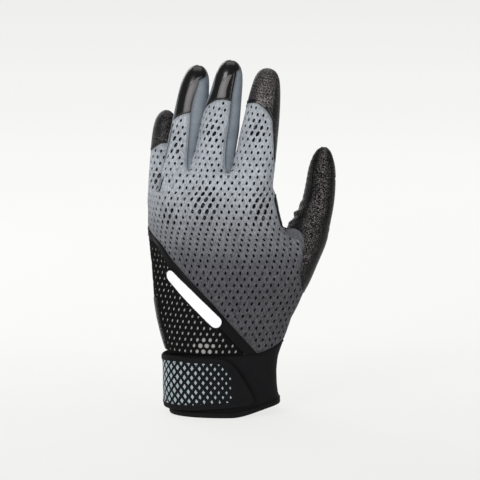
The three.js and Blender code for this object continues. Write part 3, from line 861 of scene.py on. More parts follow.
def triangulated(rim, holes, filling):
    # flat points and triangles of a panel, and the number of the hole that each point is on
    edges = [(i, (i + 1) % len(rim)) for i in range(len(rim))]
    start = len(rim)
    holeId = []
    for number, hole in enumerate(holes):
        edges += [(start + i, start + (i + 1) % len(hole)) for i in range(len(hole))]
        holeId += [number] * len(hole)
        start += len(hole)
    points = np.concatenate([p for p in [rim] + list(holes) + filling if len(p)])
    result = delaunay_2d_cdt([Vector(p) for p in points], edges, [], 0, 1e-5)
    flat = np.array([(v[0], v[1]) for v in result[0]])
    tris = np.array([f for f in result[2] if len(f) == 3])
    holeOf = np.full(len(flat), -1)
    for i, origins in enumerate(result[3]):
        if origins and len(rim) <= origins[0] < len(rim) + len(holeId):
            holeOf[i] = holeId[origins[0] - len(rim)]
    ids = holeOf[tris]
    within = (ids[:, 0] >= 0) & (ids[:, 0] == ids[:, 1]) & (ids[:, 1] == ids[:, 2])
    tris = tris[inside(flat[tris].mean(1), rim) & ~within]
    used = np.unique(tris)
    renumber = np.full(len(flat), -1)
    renumber[used] = np.arange(len(used))
    return flat[used], renumber[tris], holeOf[used]


holeDip = 0.12


def makePanel(name, chart, shape, look, nodes, on, holes=(), spacing=2.0, lift=0.0, thick=0.9,
              roll=0.35, rollWidth=1.3, relief=None, stitches=(), gap=0.1, ease=None, welded=False):
    # a sewn panel: outline and holes are triangulated on the chart, and then laid on the form
    outline, seams = shape
    after = np.roll(outline, -1, axis=0)
    turn = np.sum(outline[:, 0] * after[:, 1] - outline[:, 1] * after[:, 0])
    ahead = unit(after - np.roll(outline, 1, axis=0)) * (1 if turn > 0 else -1)
    inward = np.stack([-ahead[:, 1], ahead[:, 0]], axis=1)
    seamPoint = seams & np.roll(seams, 1)
    rim = outline + inward * np.where(seamPoint, gap, 0)[:, None]
    filling = panelPoints(outline, inward, seamPoint, holes, spacing, roll)
    flat, tris, holeOf = triangulated(rim, holes, filling)
    at, normal = chart.place(flat)
    if ease is not None:
        at = at + ease(flat)
    distance = edgeDistance(flat, outline, seams)
    drop = roll * np.clip(1 - distance / rollWidth, 0, 1) ** 2
    height = np.full(len(flat), float(lift)) - drop - np.where(holeOf >= 0, holeDip, 0)
    if relief is not None:
        height = height + relief(flat, at, distance)
    outer = at + normal * height[:, None]
    inner = at + normal * (lift - thick - 0.5 * drop)[:, None]
    count = len(flat)
    facing = np.cross(outer[tris[:, 1]] - outer[tris[:, 0]], outer[tris[:, 2]] - outer[tris[:, 0]])
    if np.sum(facing * normal[tris].mean(1)) < 0:
        tris = tris[:, ::-1]
    tris = tris.tolist()
    directed = dict.fromkeys((tri[k], tri[(k + 1) % 3]) for tri in tris for k in range(3))
    faces = [tuple(t) for t in tris] + [(t[2] + count, t[1] + count, t[0] + count) for t in tris]
    border = np.zeros(2 * count, bool)
    for a, b in directed:
        if (b, a) not in directed:
            faces.append((b, a, a + count, b + count))
            border[[a, b, a + count, b + count]] = True
    parts = []
    for line, options in stitches:
        if "radius" in options:
            parts.append((*cordMesh(chart, line, lift, **options), 0))
        else:
            parts.append((*stitchMesh(chart, line, lift - 0.02, **options), 1))
    # painted shade along the seams: 1 at a seam, fading out over 2.2 mm, kept as the rim attribute
    seamShade = np.concatenate([np.clip(1 - distance / 2.2, 0, 1)] * 2)
    obj = addMesh(name, look, np.concatenate([outer, inner]), faces, np.concatenate([flat, flat]), seamShade,
                  parts, border)
    if welded:
        weld(obj)
    dress(obj, nodes, on)


# Finishes: place is the object's own coordinates in metres
def toLinear(red, green, blue):
    def one(value):
        value /= 255
        return value / 12.92 if value <= 0.04045 else ((value + 0.055) / 1.055) ** 2.4
    return (one(red), one(green), one(blue), 1)


def feed(tree, socket, value):
    if isinstance(value, bpy.types.NodeSocket):
        tree.links.new(value, socket)
    else:
        socket.default_value = value


def addNode(tree, kind, settings=None, **inputs):
    # inputs go by their name, or by number as in0, in1 and so on
    node = tree.nodes.new("ShaderNode" + kind)
    for key, value in (settings or {}).items():
        setattr(node, key, value)
    for key, value in inputs.items():
        numbered = key.startswith("in") and key[2:].isdigit()
        feed(tree, node.inputs[int(key[2:]) if numbered else key.replace("_", " ")], value)
    return node


def math2(tree, operation, a, b=0.0, c=0.0):
    return addNode(tree, "Math", {"operation": operation}, in0=a, in1=b, in2=c).outputs[0]


def times(tree, a, b, plus=None):
    return math2(tree, "MULTIPLY", a, b) if plus is None else math2(tree, "MULTIPLY_ADD", a, b, plus)


def noise(tree, place, scale, detail, **more):
    return addNode(tree, "TexNoise", Vector=place, Scale=scale, Detail=detail, **more).outputs[0]


def spread(tree, value, low, high, settings=None, **more):
    # value from low to high becomes 0 to 1
    return addNode(tree, "MapRange", settings, Value=value, in1=low, in2=high, **more).outputs[0]


def mixed(tree, share, colour, other):
    return addNode(tree, "Mix", {"data_type": "RGBA"}, in0=share, in6=toLinear(*colour),
                   in7=toLinear(*other)).outputs[2]


def setStops(ramp, entries):
    # colours along a ramp, from its first stop to its last
    stops = ramp.color_ramp.elements
    for at, colour in entries[1:-1]:
        stops.new(at)
    for stop, (at, colour) in zip(stops, entries):
        stop.color = colour


def newGroup(name, inputs, outputs):
    group = bpy.data.node_groups.new(name, "ShaderNodeTree")
    for title, kind, value in inputs:
        socket = group.interface.new_socket(name=title, in_out="INPUT", socket_type="NodeSocket" + kind)
        if value is not None:
            socket.default_value = value
    for title in outputs:
        group.interface.new_socket(name=title, in_out="OUTPUT", socket_type="NodeSocketFloat")
    into, out = group.nodes.new("NodeGroupInput"), group.nodes.new("NodeGroupOutput")
    return group, into.outputs["Place"], into.outputs, out.inputs


def useGroup(tree, group, **inputs):
    node = tree.nodes.new("ShaderNodeGroup")
    node.node_tree = group
    for key, value in inputs.items():
        feed(tree, node.inputs[key], value)
    return node.outputs


def makeKnitGroup():
    # rows of fine loops, so many for each metre
    group, place, into, out = newGroup("knit", [("Place", "Vector", None), ("Loops", "Float", 1400.0)],
                                       ["Height", "Shade"])
    scaled = addNode(group, "VectorMath", {"operation": "SCALE"}, in0=place, Scale=into["Loops"]).outputs[0]
    parts = addNode(group, "SeparateXYZ", in0=scaled).outputs
    bent = times(group, noise(group, scaled, 0.35, 2.0), 1.4, parts[0])
    ribs = math2(group, "SINE", times(group, bent, 6.283))
    loops = math2(group, "SINE", times(group, parts[2], 4.4))
    feed(group, out["Height"], times(group, times(group, loops, 0.35, ribs), 0.35, 0.5))
    feed(group, out["Shade"], times(group, noise(group, place, 90.0, 4.0), 0.6, 0.7))
    return group


def makeLeatherGroup():
    # pebbled grain with long soft creases
    group, place, into, out = newGroup("leatherGrain", [("Place", "Vector", None),
                                                        ("Grain", "Float", 1700.0)],
                                       ["Height", "Shade"])
    cells = addNode(group, "TexVoronoi", {"feature": "DISTANCE_TO_EDGE"}, Vector=place, Scale=into["Grain"])
    pebble = math2(group, "SMOOTH_MIN", times(group, cells.outputs["Distance"], 4.0), 0.6, 0.3)
    crease = noise(group, place, 160.0, 5.0, Roughness=0.6)
    feed(group, out["Height"], times(group, crease, 1.6, pebble))
    shade = times(group, noise(group, place, 45.0, 3.0), 0.5, 0.75)
    feed(group, out["Shade"], times(group, shade, times(group, pebble, 0.25, 0.85)))
    return group


def makeDiamondGroup():
    # two staggered sets of diamonds that shrink along the strap and end before its nose
    group, place, into, out = newGroup("diamondPrint", [("Place", "Vector", None), ("Start", "Float", -60.0),
                                                        ("Finish", "Float", 10.0)], ["Mask"])
    parts = addNode(group, "SeparateXYZ", in0=place).outputs
    share = spread(group, parts[0], into["Start"], into["Finish"])
    size = times(group, share, -0.27, 0.42)

    def fromMiddle(part, pitch, shift):
        cell = math2(group, "FRACT", times(group, part, 1 / pitch, shift))
        return math2(group, "ABSOLUTE", math2(group, "SUBTRACT", cell, 0.5))

    masks = []
    for shift in (0.0, 0.5):
        x, y = fromMiddle(parts[0], 4.8, shift), fromMiddle(parts[1], 6.3, shift)
        masks.append(math2(group, "LESS_THAN", math2(group, "ADD", times(group, x, 1.25), y), size))
    either = math2(group, "MAXIMUM", *masks)
    feed(group, out["Mask"], times(group, either, math2(group, "LESS_THAN", share, 0.97)))
    return group


def makeFleckGroup():
    # short upright strokes of darker yarn: Deep is how dark they are
    group, place, into, out = newGroup("yarnFlecks", [("Place", "Vector", None), ("Deep", "Float", 0.3)],
                                       ["Shade"])
    stretched = addNode(group, "VectorMath", {"operation": "MULTIPLY"}, in0=place,
                        in1=(1500.0, 1500.0, 520.0))
    strokes = noise(group, stretched.outputs[0], 1.0, 2.0, Roughness=0.55)
    lost = math2(group, "SUBTRACT", spread(group, strokes, 0.4, 0.6), 1.0)
    feed(group, out["Shade"], times(group, lost, into["Deep"], 1.08))
    return group


def startMaterial(name, roughness, **constants):
    material = bpy.data.materials.new(name)
    material.use_nodes = True
    tree = material.node_tree
    shader = tree.nodes["Principled BSDF"]
    shader.inputs["Roughness"].default_value = roughness
    for key, value in constants.items():
        shader.inputs[key.replace("_", " ")].default_value = value
    return material, tree, shader, tree.nodes.new("ShaderNodeTexCoord").outputs["Object"]


makeStudio()
print("camera and studio ready")
knit = makeKnitGroup()
leatherGrain = makeLeatherGroup()
diamondPrint = makeDiamondGroup()
yarnFlecks = makeFleckGroup()


def bump(tree, shader, height, strength, distance=0.0002):
    node = addNode(tree, "Bump", Height=height, Strength=strength, Distance=distance)
    feed(tree, shader.inputs["Normal"], node.outputs[0])


def tint(tree, shader, colour, shade, seam=-0.35):
    # colour times a shade, with painted shade that darkens it along the seams (rim attribute)
    rim = addNode(tree, "Attribute", {"attribute_name": "rim"}).outputs["Fac"]
    grey = times(tree, shade, times(tree, rim, seam, 1.0))
    mix = addNode(tree, "Mix", {"data_type": "RGBA", "blend_type": "MULTIPLY"}, in0=1.0, in6=colour, in7=grey)
    feed(tree, shader.inputs["Base Color"], mix.outputs[2])


def ownUV(tree):
    return addNode(tree, "UVMap", {"uv_map": "UVMap"}).outputs[0]


def makeMeshCloth(name, paintedShade):
    # lighter towards the fingers; paintedShade darkens all of it with painted shade, 1 for none
    material, tree, shader, place = startMaterial(name, 0.78, Sheen_Weight=0.04, Specular_IOR_Level=0.25)
    grain = useGroup(tree, knit, Place=place, Loops=1250.0)
    share = spread(tree, addNode(tree, "SeparateXYZ", in0=place).outputs[2], 0.05, 0.165)
    ramp = addNode(tree, "ValToRGB", in0=share)
    greys = ((0.0, (82, 82, 86)), (0.3, (82, 82, 86)), (0.46, (94, 94, 99)), (0.65, (132, 135, 140)),
             (0.82, (168, 173, 179)), (1.0, (176, 182, 189)))
    setStops(ramp, [(at, toLinear(*colour)) for at, colour in greys])
    flecks = useGroup(tree, yarnFlecks, Place=place, Deep=times(tree, share, -0.22, 0.62))
    shade = times(tree, times(tree, grain["Shade"], flecks[0]), paintedShade)
    tint(tree, shader, ramp.outputs[0], shade)
    bump(tree, shader, grain["Height"], 0.35)
    return material


def makeLining():
    # dark inner cloth with a few grey yarns that catch the light through the holes
    material, tree, shader, place = startMaterial("lining cloth", 0.9, Specular_IOR_Level=0.1)
    yarns = noise(tree, place, 950.0, 1.0)
    tint(tree, shader, mixed(tree, spread(tree, yarns, 0.56, 0.68), (14, 14, 16), (104, 108, 112)), 1.0)
    bump(tree, shader, yarns, 0.4, 0.0004)
    return material


def makeCloth(name, colour, roughness, loops, strength, shine=0.12, seam=-0.35):
    material, tree, shader, place = startMaterial(name, roughness, Specular_IOR_Level=shine)
    grain = useGroup(tree, knit, Place=place, Loops=loops)
    tint(tree, shader, toLinear(*colour), grain["Shade"], seam)
    bump(tree, shader, grain["Height"], strength)
    return material


def makeLeather(name, colour, roughness, grainSize=1700.0, strength=0.5, shine=0.22, wornAndGlint=(110, 106, 106),
                amount=0.6, litRidge=None):
    # black hide with lighter specks in patches, painted glints on partly worn grain, or most along a lit
    # ridge at this u, this wide: a painted highlight
    material, tree, shader, place = startMaterial(name, roughness, Specular_IOR_Level=shine)
    grain = useGroup(tree, leatherGrain, Place=place, Grain=grainSize)
    glintSpecks = spread(tree, noise(tree, place, 1250.0, 2.0), 0.46, 0.62)
    glintPatches = spread(tree, noise(tree, place, 75.0, 3.0), 0.4, 0.62, in3=0.15)
    if litRidge:
        across = addNode(tree, "SeparateXYZ", in0=ownUV(tree)).outputs[0]
        away = math2(tree, "ABSOLUTE", math2(tree, "SUBTRACT", across, litRidge[0]))
        near = spread(tree, away, 0.0, litRidge[1], {"interpolation_type": "SMOOTHSTEP"}, in3=1.0, in4=0.12)
        glintPatches = times(tree, near, times(tree, glintPatches, 0.6, 0.4))
    # painted glints: lighter specks mixed into the base colour
    mask = times(tree, glintSpecks, times(tree, glintPatches, amount))
    tint(tree, shader, mixed(tree, mask, colour, wornAndGlint), grain["Shade"])
    feed(tree, shader.inputs["Roughness"], times(tree, grain["Shade"], -0.18, roughness + 0.16))
    bump(tree, shader, grain["Height"], strength, 0.00025)
    return material


def makeFilm(name, colour, roughness, coat=0.0, shine=0.3, seam=-0.35):
    material, tree, shader, place = startMaterial(name, roughness, Coat_Weight=coat, Coat_Roughness=0.08,
                                                  Specular_IOR_Level=shine)
    haze = noise(tree, place, 220.0, 3.0)
    feed(tree, shader.inputs["Roughness"], times(tree, haze, 0.12, roughness - 0.04))
    tint(tree, shader, toLinear(*colour), times(tree, haze, 0.1, 0.94), seam)
    bump(tree, shader, haze, 0.06)
    return material


def makeFleece(name, colour, strength):
    material, tree, shader, place = startMaterial(name, 0.95, Specular_IOR_Level=0.1)
    fuzz = noise(tree, place, 1800.0, 4.0, Roughness=0.7)
    tint(tree, shader, toLinear(*colour), times(tree, fuzz, 0.9, 0.55))
    bump(tree, shader, fuzz, strength, 0.0006)
    return material


def makeStrapCloth(start, end):
    material, tree, shader, place = startMaterial("strap cloth", 0.75, Specular_IOR_Level=0.12)
    grain = useGroup(tree, knit, Place=place, Loops=1600.0)
    mask = useGroup(tree, diamondPrint, Place=ownUV(tree), Start=start, Finish=end)[0]
    tint(tree, shader, mixed(tree, mask, (17, 17, 19), (158, 172, 178)), grain["Shade"])
    feed(tree, shader.inputs["Roughness"], times(tree, mask, -0.25, 0.72))
    bump(tree, shader, grain["Height"], 0.3)
    return material


finish = {
    "mesh": makeMeshCloth("mesh cloth", 1.0),
    # the thumb crotch mesh at half brightness: painted shade
    "shaded mesh": makeMeshCloth("thumb crotch mesh cloth", 0.52),
    # side strips: a lighter base with strong painted shade along their seams, for the shade between the
    # fingers
    "side": makeCloth("stall side cloth", (138, 146, 155), 0.7, 2000.0, 0.25, 0.2, -0.75),
    "black mesh": makeCloth("black mesh cloth", (12, 12, 13), 0.75, 1300.0, 0.4, 0.08),
    "underlay": makeCloth("pale underlay cloth", (168, 166, 164), 0.8, 1500.0, 0.3),
    "neoprene": makeCloth("neoprene", (23, 23, 25), 0.88, 2200.0, 0.25),
    "tape": makeCloth("binding tape", (19, 19, 21), 0.75, 1100.0, 0.6),
    "trim": makeFilm("trim band", (10, 10, 11), 0.5, 0.0, 0.12),
    "gloss": makeFilm("gloss overlay", (7, 6, 6), 0.24, 0.2, 0.4),
    # grey film patches on the gloss tips: a painted reflection of the studio light
    "painted reflection": makeFilm("painted reflection film", (112, 108, 110), 0.42),
    "white": makeFilm("white film", (252, 252, 254), 0.45, 0.0, 0.3, 0.0),
    "leather": makeLeather("black leather", (9, 8, 8), 0.34),
    # tip and thumb leather: painted glints, brightest along the lit middle of the finger and the thumb
    "tip leather": makeLeather("finger tip leather", (46, 43, 44), 0.36, wornAndGlint=(172, 164, 164), amount=0.95,
                               litRidge=(1.5, 12.0)),
    "thumb leather": makeLeather("thumb leather", (5, 4, 4), 0.33, shine=0.1, wornAndGlint=(140, 134, 134),
                                 amount=0.95, litRidge=(1.0, 8.5)),
    "soft leather": makeLeather("soft black leather", (9, 8, 8), 0.42, 2000.0),
    "palm leather": makeLeather("palm leather", (24, 23, 24), 0.46, 1500.0, wornAndGlint=(74, 71, 72)),
    "thread": makeCloth("black thread", (24, 24, 26), 0.6, 3000.0, 0.4),
    "lining": makeLining(),
    "loop": makeFleece("loop fleece", (30, 30, 32), 0.9),
    "hook": makeFleece("hook tape", (18, 18, 20), 0.6),
}
print("finishes ready")


# Borders that neighbouring pieces share. Pixels are where they show in the photo, heights are in mm.
lines = {
    "fingerBorder": 162.0, "littleBorder": 148.0, "sideAngle": 97,
    "leftAngles": [(60, 97), (80, 103), (100, 111), (115, 118), (125, 124), (142, 129)],
    "crease": [(163.6, 172.5), (163.8, 184), (163.6, 196)],
    "indexEdge": [(275.2, 172.5), (275.0, 186), (275.6, 198), (277.4, 209), (279.6, 219), (282.5, 226.6)],
    "thumbSeam": [(282.5, 226.6), (288, 228), (294.5, 228.6), (300.6, 232), (303.9, 240), (304.4, 248),
                  (302.6, 259), (300.8, 270), (301.6, 281), (303.0, 290), (303.6, 296)],
    "diagonal": [(257, 353.5), (242.5, 338), (227, 321), (212, 304), (198, 289.5), (185.8, 276.5), (175, 264),
                 (166, 252), (158.5, 241.5), (152, 233)],
    "cuffSeam": [(167, 353.7), (180, 355.2), (200, 356), (232.6, 356), (246, 355), (258, 353.5), (269, 349.5),
                 (278, 344.3)],
    "edgeInner": [(167.2, 350), (164.5, 338), (161.5, 326), (159, 312), (157.2, 298)],
    "thumbPalm": [(281, 228.6), (283, 238), (288, 251), (295, 265), (300, 278), (303, 290)],
    "trimWidth": 6.6, "cuffHeightRight": 49.0, "cuffHeightLeft": 42.5,
}


def heightOf(uv):
    return float(handMap.place([uv])[0][0, 2])


def levelLine(chart, first, last, z, deeper=0.0):
    # along a height of the form, from one place round it to another
    return [(u, chart.atHeight(u, z) - deeper) for u in np.arange(first, last, 1.3)]


def handBorders():
    side = lines["sideAngle"]
    b = {key: dense(handMap.seen(lines[key]))
         for key in ("indexEdge", "thumbSeam", "diagonal", "crease", "cuffSeam")}
    b["fingerBorder"] = levelLine(handMap, b["crease"][0][0], b["indexEdge"][0][0], lines["fingerBorder"])
    leftSide = leftAt(lines["littleBorder"])[0]
    b["littleBorder"] = levelLine(handMap, leftSide, b["crease"][-1][0], lines["littleBorder"])
    b["diagonalTop"] = heightOf(b["diagonal"][-1]) + 6
    b["diagonal"] = np.vstack([b["diagonal"], dense([b["diagonal"][-1], leftAt(b["diagonalTop"])])[1:]])
    climb = heights(heightOf(b["thumbSeam"][-1]), lines["cuffHeightRight"])
    b["rightSide"] = dense([sideAt(z, side) for z in climb])
    b["thumbEnd"] = dense([b["thumbSeam"][-1], b["rightSide"][0]])
    b["cuffRight"] = dense([b["cuffSeam"][-1], sideAt(lines["cuffHeightRight"] + 0.6, side * 0.8),
                            b["rightSide"][-1]])
    b["cuffLeft"] = dense([leftAt(lines["cuffHeightLeft"]), b["cuffSeam"][0]])
    b["cuffPalm"] = dense([b["rightSide"][-1], sideAt(48, 140), sideAt(46.5, 180), sideAt(44, -140, 1),
                           leftAt(lines["cuffHeightLeft"], 1)])
    b["trimEdge"] = shifted(b["diagonal"], lines["trimWidth"])
    return b


borders = handBorders()


def nearestIndex(line, point):
    return int(np.argmin(np.linalg.norm(np.asarray(line) - np.asarray(point), axis=1)))


def mound(pixels, column, row, wide, high):
    # a soft round patch, 1 in its middle
    return np.exp(-((pixels[:, 0] - column) / wide) ** 2 - ((pixels[:, 1] - row) / high) ** 2)


def crease(away, deep, narrow, high, beside, wide):
    # a groove where away is 0, with a low swell on both sides
    return high * np.exp(-((abs(away) - beside) / wide) ** 2) - deep * np.exp(-(away / narrow) ** 2)


# Back of the hand: knit mesh with staggered oval holes, wider over the knuckles
backMesh = {"pitch": (4.9, 4.15), "small": (0.86, 1.34, 15), "big": (1.25, 2.2, 31), "thick": 0.7,
            "knuckles": [(205, 203, 15, 22), (262, 207, 13, 22), (169, 216, 8, 12)], "liningDepth": 1.15}


def holeShape(pixel, m):
    # half axes and slant, growing towards the nearest knuckle
    share = 0
    for x, y, reachX, reachY in m["knuckles"]:
        away = math.hypot((pixel[0] - x) / reachX, (pixel[1] - y) / reachY)
        share = max(share, min(1, max(0, 1.6 - 1.4 * away)))
    return [low + (high - low) * share for low, high in zip(m["small"], m["big"])]


def makeBackMesh():
    m, b = backMesh, borders
    seamEnd = b["cuffSeam"][nearestIndex(b["cuffSeam"], b["diagonal"][0]):]
    leftSide = leftLine(b["diagonalTop"], lines["littleBorder"])
    shape = joined(
        (b["fingerBorder"], False), (b["indexEdge"], True), (b["thumbSeam"], True), (b["thumbEnd"], True),
        (b["rightSide"], True), (b["cuffRight"][::-1], True), (seamEnd[::-1], True), (b["diagonal"], True),
        (dense(leftSide), True), (b["littleBorder"], False), (b["crease"][::-1], False))
    top = handMap.atHeight(0, lines["fingerBorder"])
    holes = lattice(handMap, *shape, m["pitch"], lambda p: holeShape(p, m), origin=(0.0, top))

    def relief(flat, at, distance):
        # soft folds where the little finger bends and towards the thumb
        pixels = toPixel(at)
        wave = np.sin(pixels[:, 1] * 1.05 + (pixels[:, 0] - 150) * -0.25)
        wave2 = np.sin(pixels[:, 1] * 1.2 - pixels[:, 0] * 0.5)
        folds = 0.45 * mound(pixels, 160, 208, 8, 9) * wave + 0.35 * mound(pixels, 290, 235, 9, 7) * wave2
        return folds * np.clip(distance / 2, 0, 1)

    makePanel("back_mesh_cloth", handMap, shape, "mesh", ["back_mesh"], "hand", holes=holes,
              spacing=2.1, thick=m["thick"], roll=0.4, relief=relief)
    makePanel("back_lining", handMap, shape, "lining", [], "hand", spacing=2.6,
              lift=-m["liningDepth"], thick=0.4, roll=0.1, gap=0.7, relief=relief)


# Black lower corner: mesh over a pale underlay, a smooth trim band, an edge band and a plain white bar
sidePanel = {"pitch": (4.3, 3.9), "small": (0.7, 1.15, 18), "big": (1.65, 1.62, 16), "thick": 0.7,
             "knuckles": [(205, 347, 12, 11)], "underlay": 0.57}
whiteBar = {"start": (171, 276), "end": (216, 322.5), "width": 7.6, "rim": 1.3, "thick": 0.5}


def makeSidePanel():
    m, trim, bottom = sidePanel, borders["trimEdge"], borders["cuffSeam"]
    inner = dense(handMap.seen(lines["edgeInner"]))
    atTrim = nearestIndex(trim, bottom[nearestIndex(bottom, trim[0])])
    along = bottom[nearestIndex(bottom, inner[0]):nearestIndex(bottom, trim[atTrim]) + 1]
    side = leftAt(heightOf(inner[-1]))
    leftSide = dense(leftLine(heightOf(trim[-1]), heightOf(side)))
    shape = sewn(along, trim[atTrim:], leftSide, dense([side, inner[-1]]), inner[::-1])
    holes = lattice(handMap, *shape, m["pitch"], lambda p: holeShape(p, m), clear=0.5)
    makePanel("side_panel_mesh", handMap, shape, "black mesh", ["side_panel"], "hand",
              holes=holes, spacing=2.1, thick=m["thick"])
    makePanel("side_panel_underlay", handMap, shape, "underlay", [], "hand", spacing=2.4,
              lift=-m["underlay"], thick=0.4, roll=0.1, gap=0.8)
    return inner, side


def makeEdgeBand(inner, side):
    low = leftAt(lines["cuffHeightLeft"])
    outer = dense(leftLine(lines["cuffHeightLeft"], heightOf(side)))
    shape = sewn(dense([low, inner[0]]), inner, dense([inner[-1], side]), outer[::-1])
    makePanel("edge_band_leather", handMap, shape, "leather", ["edge_band"], "hand", spacing=1.6,
              lift=0.45, thick=1.1, roll=0.5, stitches=[(shifted(inner[3:-3], 1.3), {})])


def makeTrim():
    diagonal, edge, bottom = borders["diagonal"], borders["trimEdge"], borders["cuffSeam"]
    low = bottom[nearestIndex(bottom, edge[nearestIndex(edge, bottom[nearestIndex(bottom, edge[0])])]):
                 nearestIndex(bottom, diagonal[0]) + 1]
    start = nearestIndex(edge, low[0])
    shape = sewn(low, diagonal, dense([diagonal[-1], edge[-1]]), edge[start:][::-1])
    makePanel("diagonal_trim_band", handMap, shape, "trim", ["diagonal_trim"], "hand", spacing=1.6,
              lift=0.3, thick=1.0, roll=0.4, stitches=[(shifted(diagonal[4:], 1.0), {}),
                                       (shifted(edge[start + 2:], -0.9), {})])


def patch(points, step=1.5, smooth=False):
    # closed shape through these points, with a seam all round
    outline = dense(np.array(list(points) + [points[0]]), step, smooth)[:-1]
    return outline, np.ones(len(outline), bool)


def makeWhiteBar():
    m = whiteBar
    start, end = [np.array(p) for p in handMap.seen([m["start"], m["end"]], 0.6)]
    run = (end - start) / np.linalg.norm(end - start)
    across = np.array((-run[1], run[0]))
    for name, look, nodes, extra, lift, roll, rollWidth in (
            ("side_bar_rim", "trim", ["side_bar"], m["rim"], 0.75, 0.3, 0.8),
            ("side_bar_film", "white", [], 0.0, 1.15, 0.12, 0.5)):
        half = m["width"] / 2 + extra
        points = []
        for centre, first in ((end, -90), (start, 90)):
            for angle in np.radians(np.linspace(first, first + 180, 10)):
                points.append(centre + run * half * math.cos(angle) + across * half * math.sin(angle))
        makePanel(name, handMap, patch(points, 1.2), look, nodes, "hand", lift=lift,
                  thick=m["thick"], roll=roll, rollWidth=rollWidth)


makeBackMesh()
print("back mesh ready")
bandInner, bandSide = makeSidePanel()
makeEdgeBand(bandInner, bandSide)
makeTrim()
makeWhiteBar()
print("side panel ready")


# Palm: one leather panel from the cuff to the finger roots
palm = {"thick": 1.0, "creases": [(196, 1.3), (236, 1.0), (262, 1.2), (310, 0.8)]}


def onPalm(line):
    # the same places on the chart that is measured from the middle of the palm
    return np.array([palmMap.locate(point) for point in handMap.place(line)[0]])


def makePalm():
    b = borders
    thumbPalm = dense([palmMap.locate(palmPoint(*p)) for p in lines["thumbPalm"]])
    fold = dense([palmMap.locate(palmPoint(173, row)) for row in (176, 186, 195)])
    indexEdge = onPalm(b["indexEdge"][b["indexEdge"][:, 1] > handMap.atHeight(0, 128.2)])
    leftSide = onPalm(dense(leftLine(lines["littleBorder"], lines["cuffHeightLeft"])))
    high = levelLine(palmMap, indexEdge[0][0], fold[0][0], lines["fingerBorder"])
    low = levelLine(palmMap, fold[-1][0], leftSide[0][0], lines["littleBorder"])
    cuffLine = onPalm(b["cuffPalm"])
    shape = joined((high, False), (fold, False), (low, False), (leftSide, True), (cuffLine[::-1], True),
                   (onPalm(b["rightSide"])[::-1], True), (onPalm(b["thumbEnd"])[::-1], True),
                   (thumbPalm[::-1], True), (dense([thumbPalm[0], indexEdge[-1]]), True),
                   (indexEdge[::-1], True))

    def relief(flat, at, distance):
        # flex creases across the palm, and a little unevenness of the hide
        height = 0.12 * np.sin(at[:, 0] * 0.31 + at[:, 2] * 0.17) * np.sin(at[:, 2] * 0.23 - at[:, 0] * 0.11)
        for row, deep in palm["creases"]:
            away = rowZ(row) + 5 * np.sin(at[:, 0] * 0.045) - at[:, 2]
            height += deep * crease(away, 0.42, 1.5, 0.16, 3, 1.8) * np.clip(distance / 6, 0, 1)
        return height * np.clip(distance / 2, 0, 1)

    makePanel("palm_leather_panel", palmMap, shape, "palm leather", ["palm_leather"], "hand",
              spacing=1.9, thick=palm["thick"], roll=0.45, relief=relief,
              stitches=[(shifted(leftSide, -1.3), {}), (shifted(cuffLine, 1.4)[2:-2], {})])


makePalm()
print("palm ready")


# Cuff: neoprene band, folded hem tape and towelling inside
cuff = {"thick": 1.5, "hemHigh": 3.9, "rise": 6.5, "riseFrom": 230, "riseTo": 281, "low": 1.6}


def hemRise(angle):
    # how far the hem stands above its lowest line, at this angle from the middle of the back
    x = float(handMap.place([sideAt(3, angle)])[0][0, 0])
    low, high = columnX(cuff["riseFrom"]), columnX(cuff["riseTo"])
    share = np.clip((x - low) / (high - low), 0, 1)
    return cuff["rise"] * share * share * (3 - 2 * share)


def hemLine(extra):
    return np.array([sideAt(extra + hemRise(angle), angle) for angle in np.linspace(-180, 180, 120)])


def ringMesh(name, profile, look, nodes, stitches=(), count=140):
    # closed band round the wrist: profile points are height above the hem line and distance off the form
    verts, faces, uvs = [], [], []
    size = len(profile)
    for angle in np.linspace(-180, 180, count, endpoint=False):
        rise = hemRise(angle)
        for high, lift in profile:
            u, v = sideAt(high + rise * max(0, 1 - high / 40), angle)
            at, normal = handMap.place([(u, v)])
            verts.append(at[0] + unit(normal * (1, 1, 0))[0] * lift)
            uvs.append((u, high))
    for i in range(count):
        for k in range(size):
            a, b = i * size, (i + 1) % count * size
            faces.append((a + k, b + k, b + (k + 1) % size, a + (k + 1) % size))
    obj = addMesh(name, look, verts, faces, uvs,
                  parts=[(*stitchMesh(handMap, line, lift, **options), 1)
                         for line, lift, options in stitches])
    faceOut(obj)
    dress(obj, nodes, "hand")


def makeCuff():
    b = borders
    top = np.vstack([dense([sideAt(46.5, -180), sideAt(44, -140), leftAt(lines["cuffHeightLeft"])]),
                     b["cuffLeft"][1:], b["cuffSeam"][1:], b["cuffRight"][1:],
                     b["cuffPalm"][1:][:nearestIndex(b["cuffPalm"], sideAt(46.5, 180))]])
    low = hemLine(cuff["low"])
    shape = joined((low, False), (dense([low[-1], top[-1]]), True), (top[::-1], True),
                   (dense([top[0], low[0]]), True))
    makePanel("cuff_neoprene", handMap, shape, "neoprene", ["cuff_band"], "hand", spacing=2.2,
              lift=0.1, thick=cuff["thick"], roll=0.5, rollWidth=1.6,
              stitches=[(shifted(top, -1.3)[2:-2], {})])
    high = cuff["hemHigh"]
    profile = [(high, 0.1), (high + 0.05, 0.5), (high - 0.35, 0.85), (high * 0.6, 1.0), (0.7, 1.05),
               (0.2, 0.8), (0.0, 0.2), (0.0, -1.2), (0.2, -1.9), (0.7, -2.2), (high * 0.6, -2.2),
               (high - 0.4, -2.1), (high, -1.7)]
    ringMesh("hem_tape", profile, "tape", ["hem_binding"],
             [(hemLine(high + 0.9), 0.1, {}), (hemLine(high - 1.0), 0.92, {"pitch": 3.1})])
    wall = [(z, -1.55) for z in np.linspace(3.2, 47, 14)] + [(z, -2.4) for z in np.linspace(47, 3.2, 14)]
    ringMesh("cuff_towelling", wall, "loop", ["cuff_lining"])


makeCuff()
print("cuff ready")


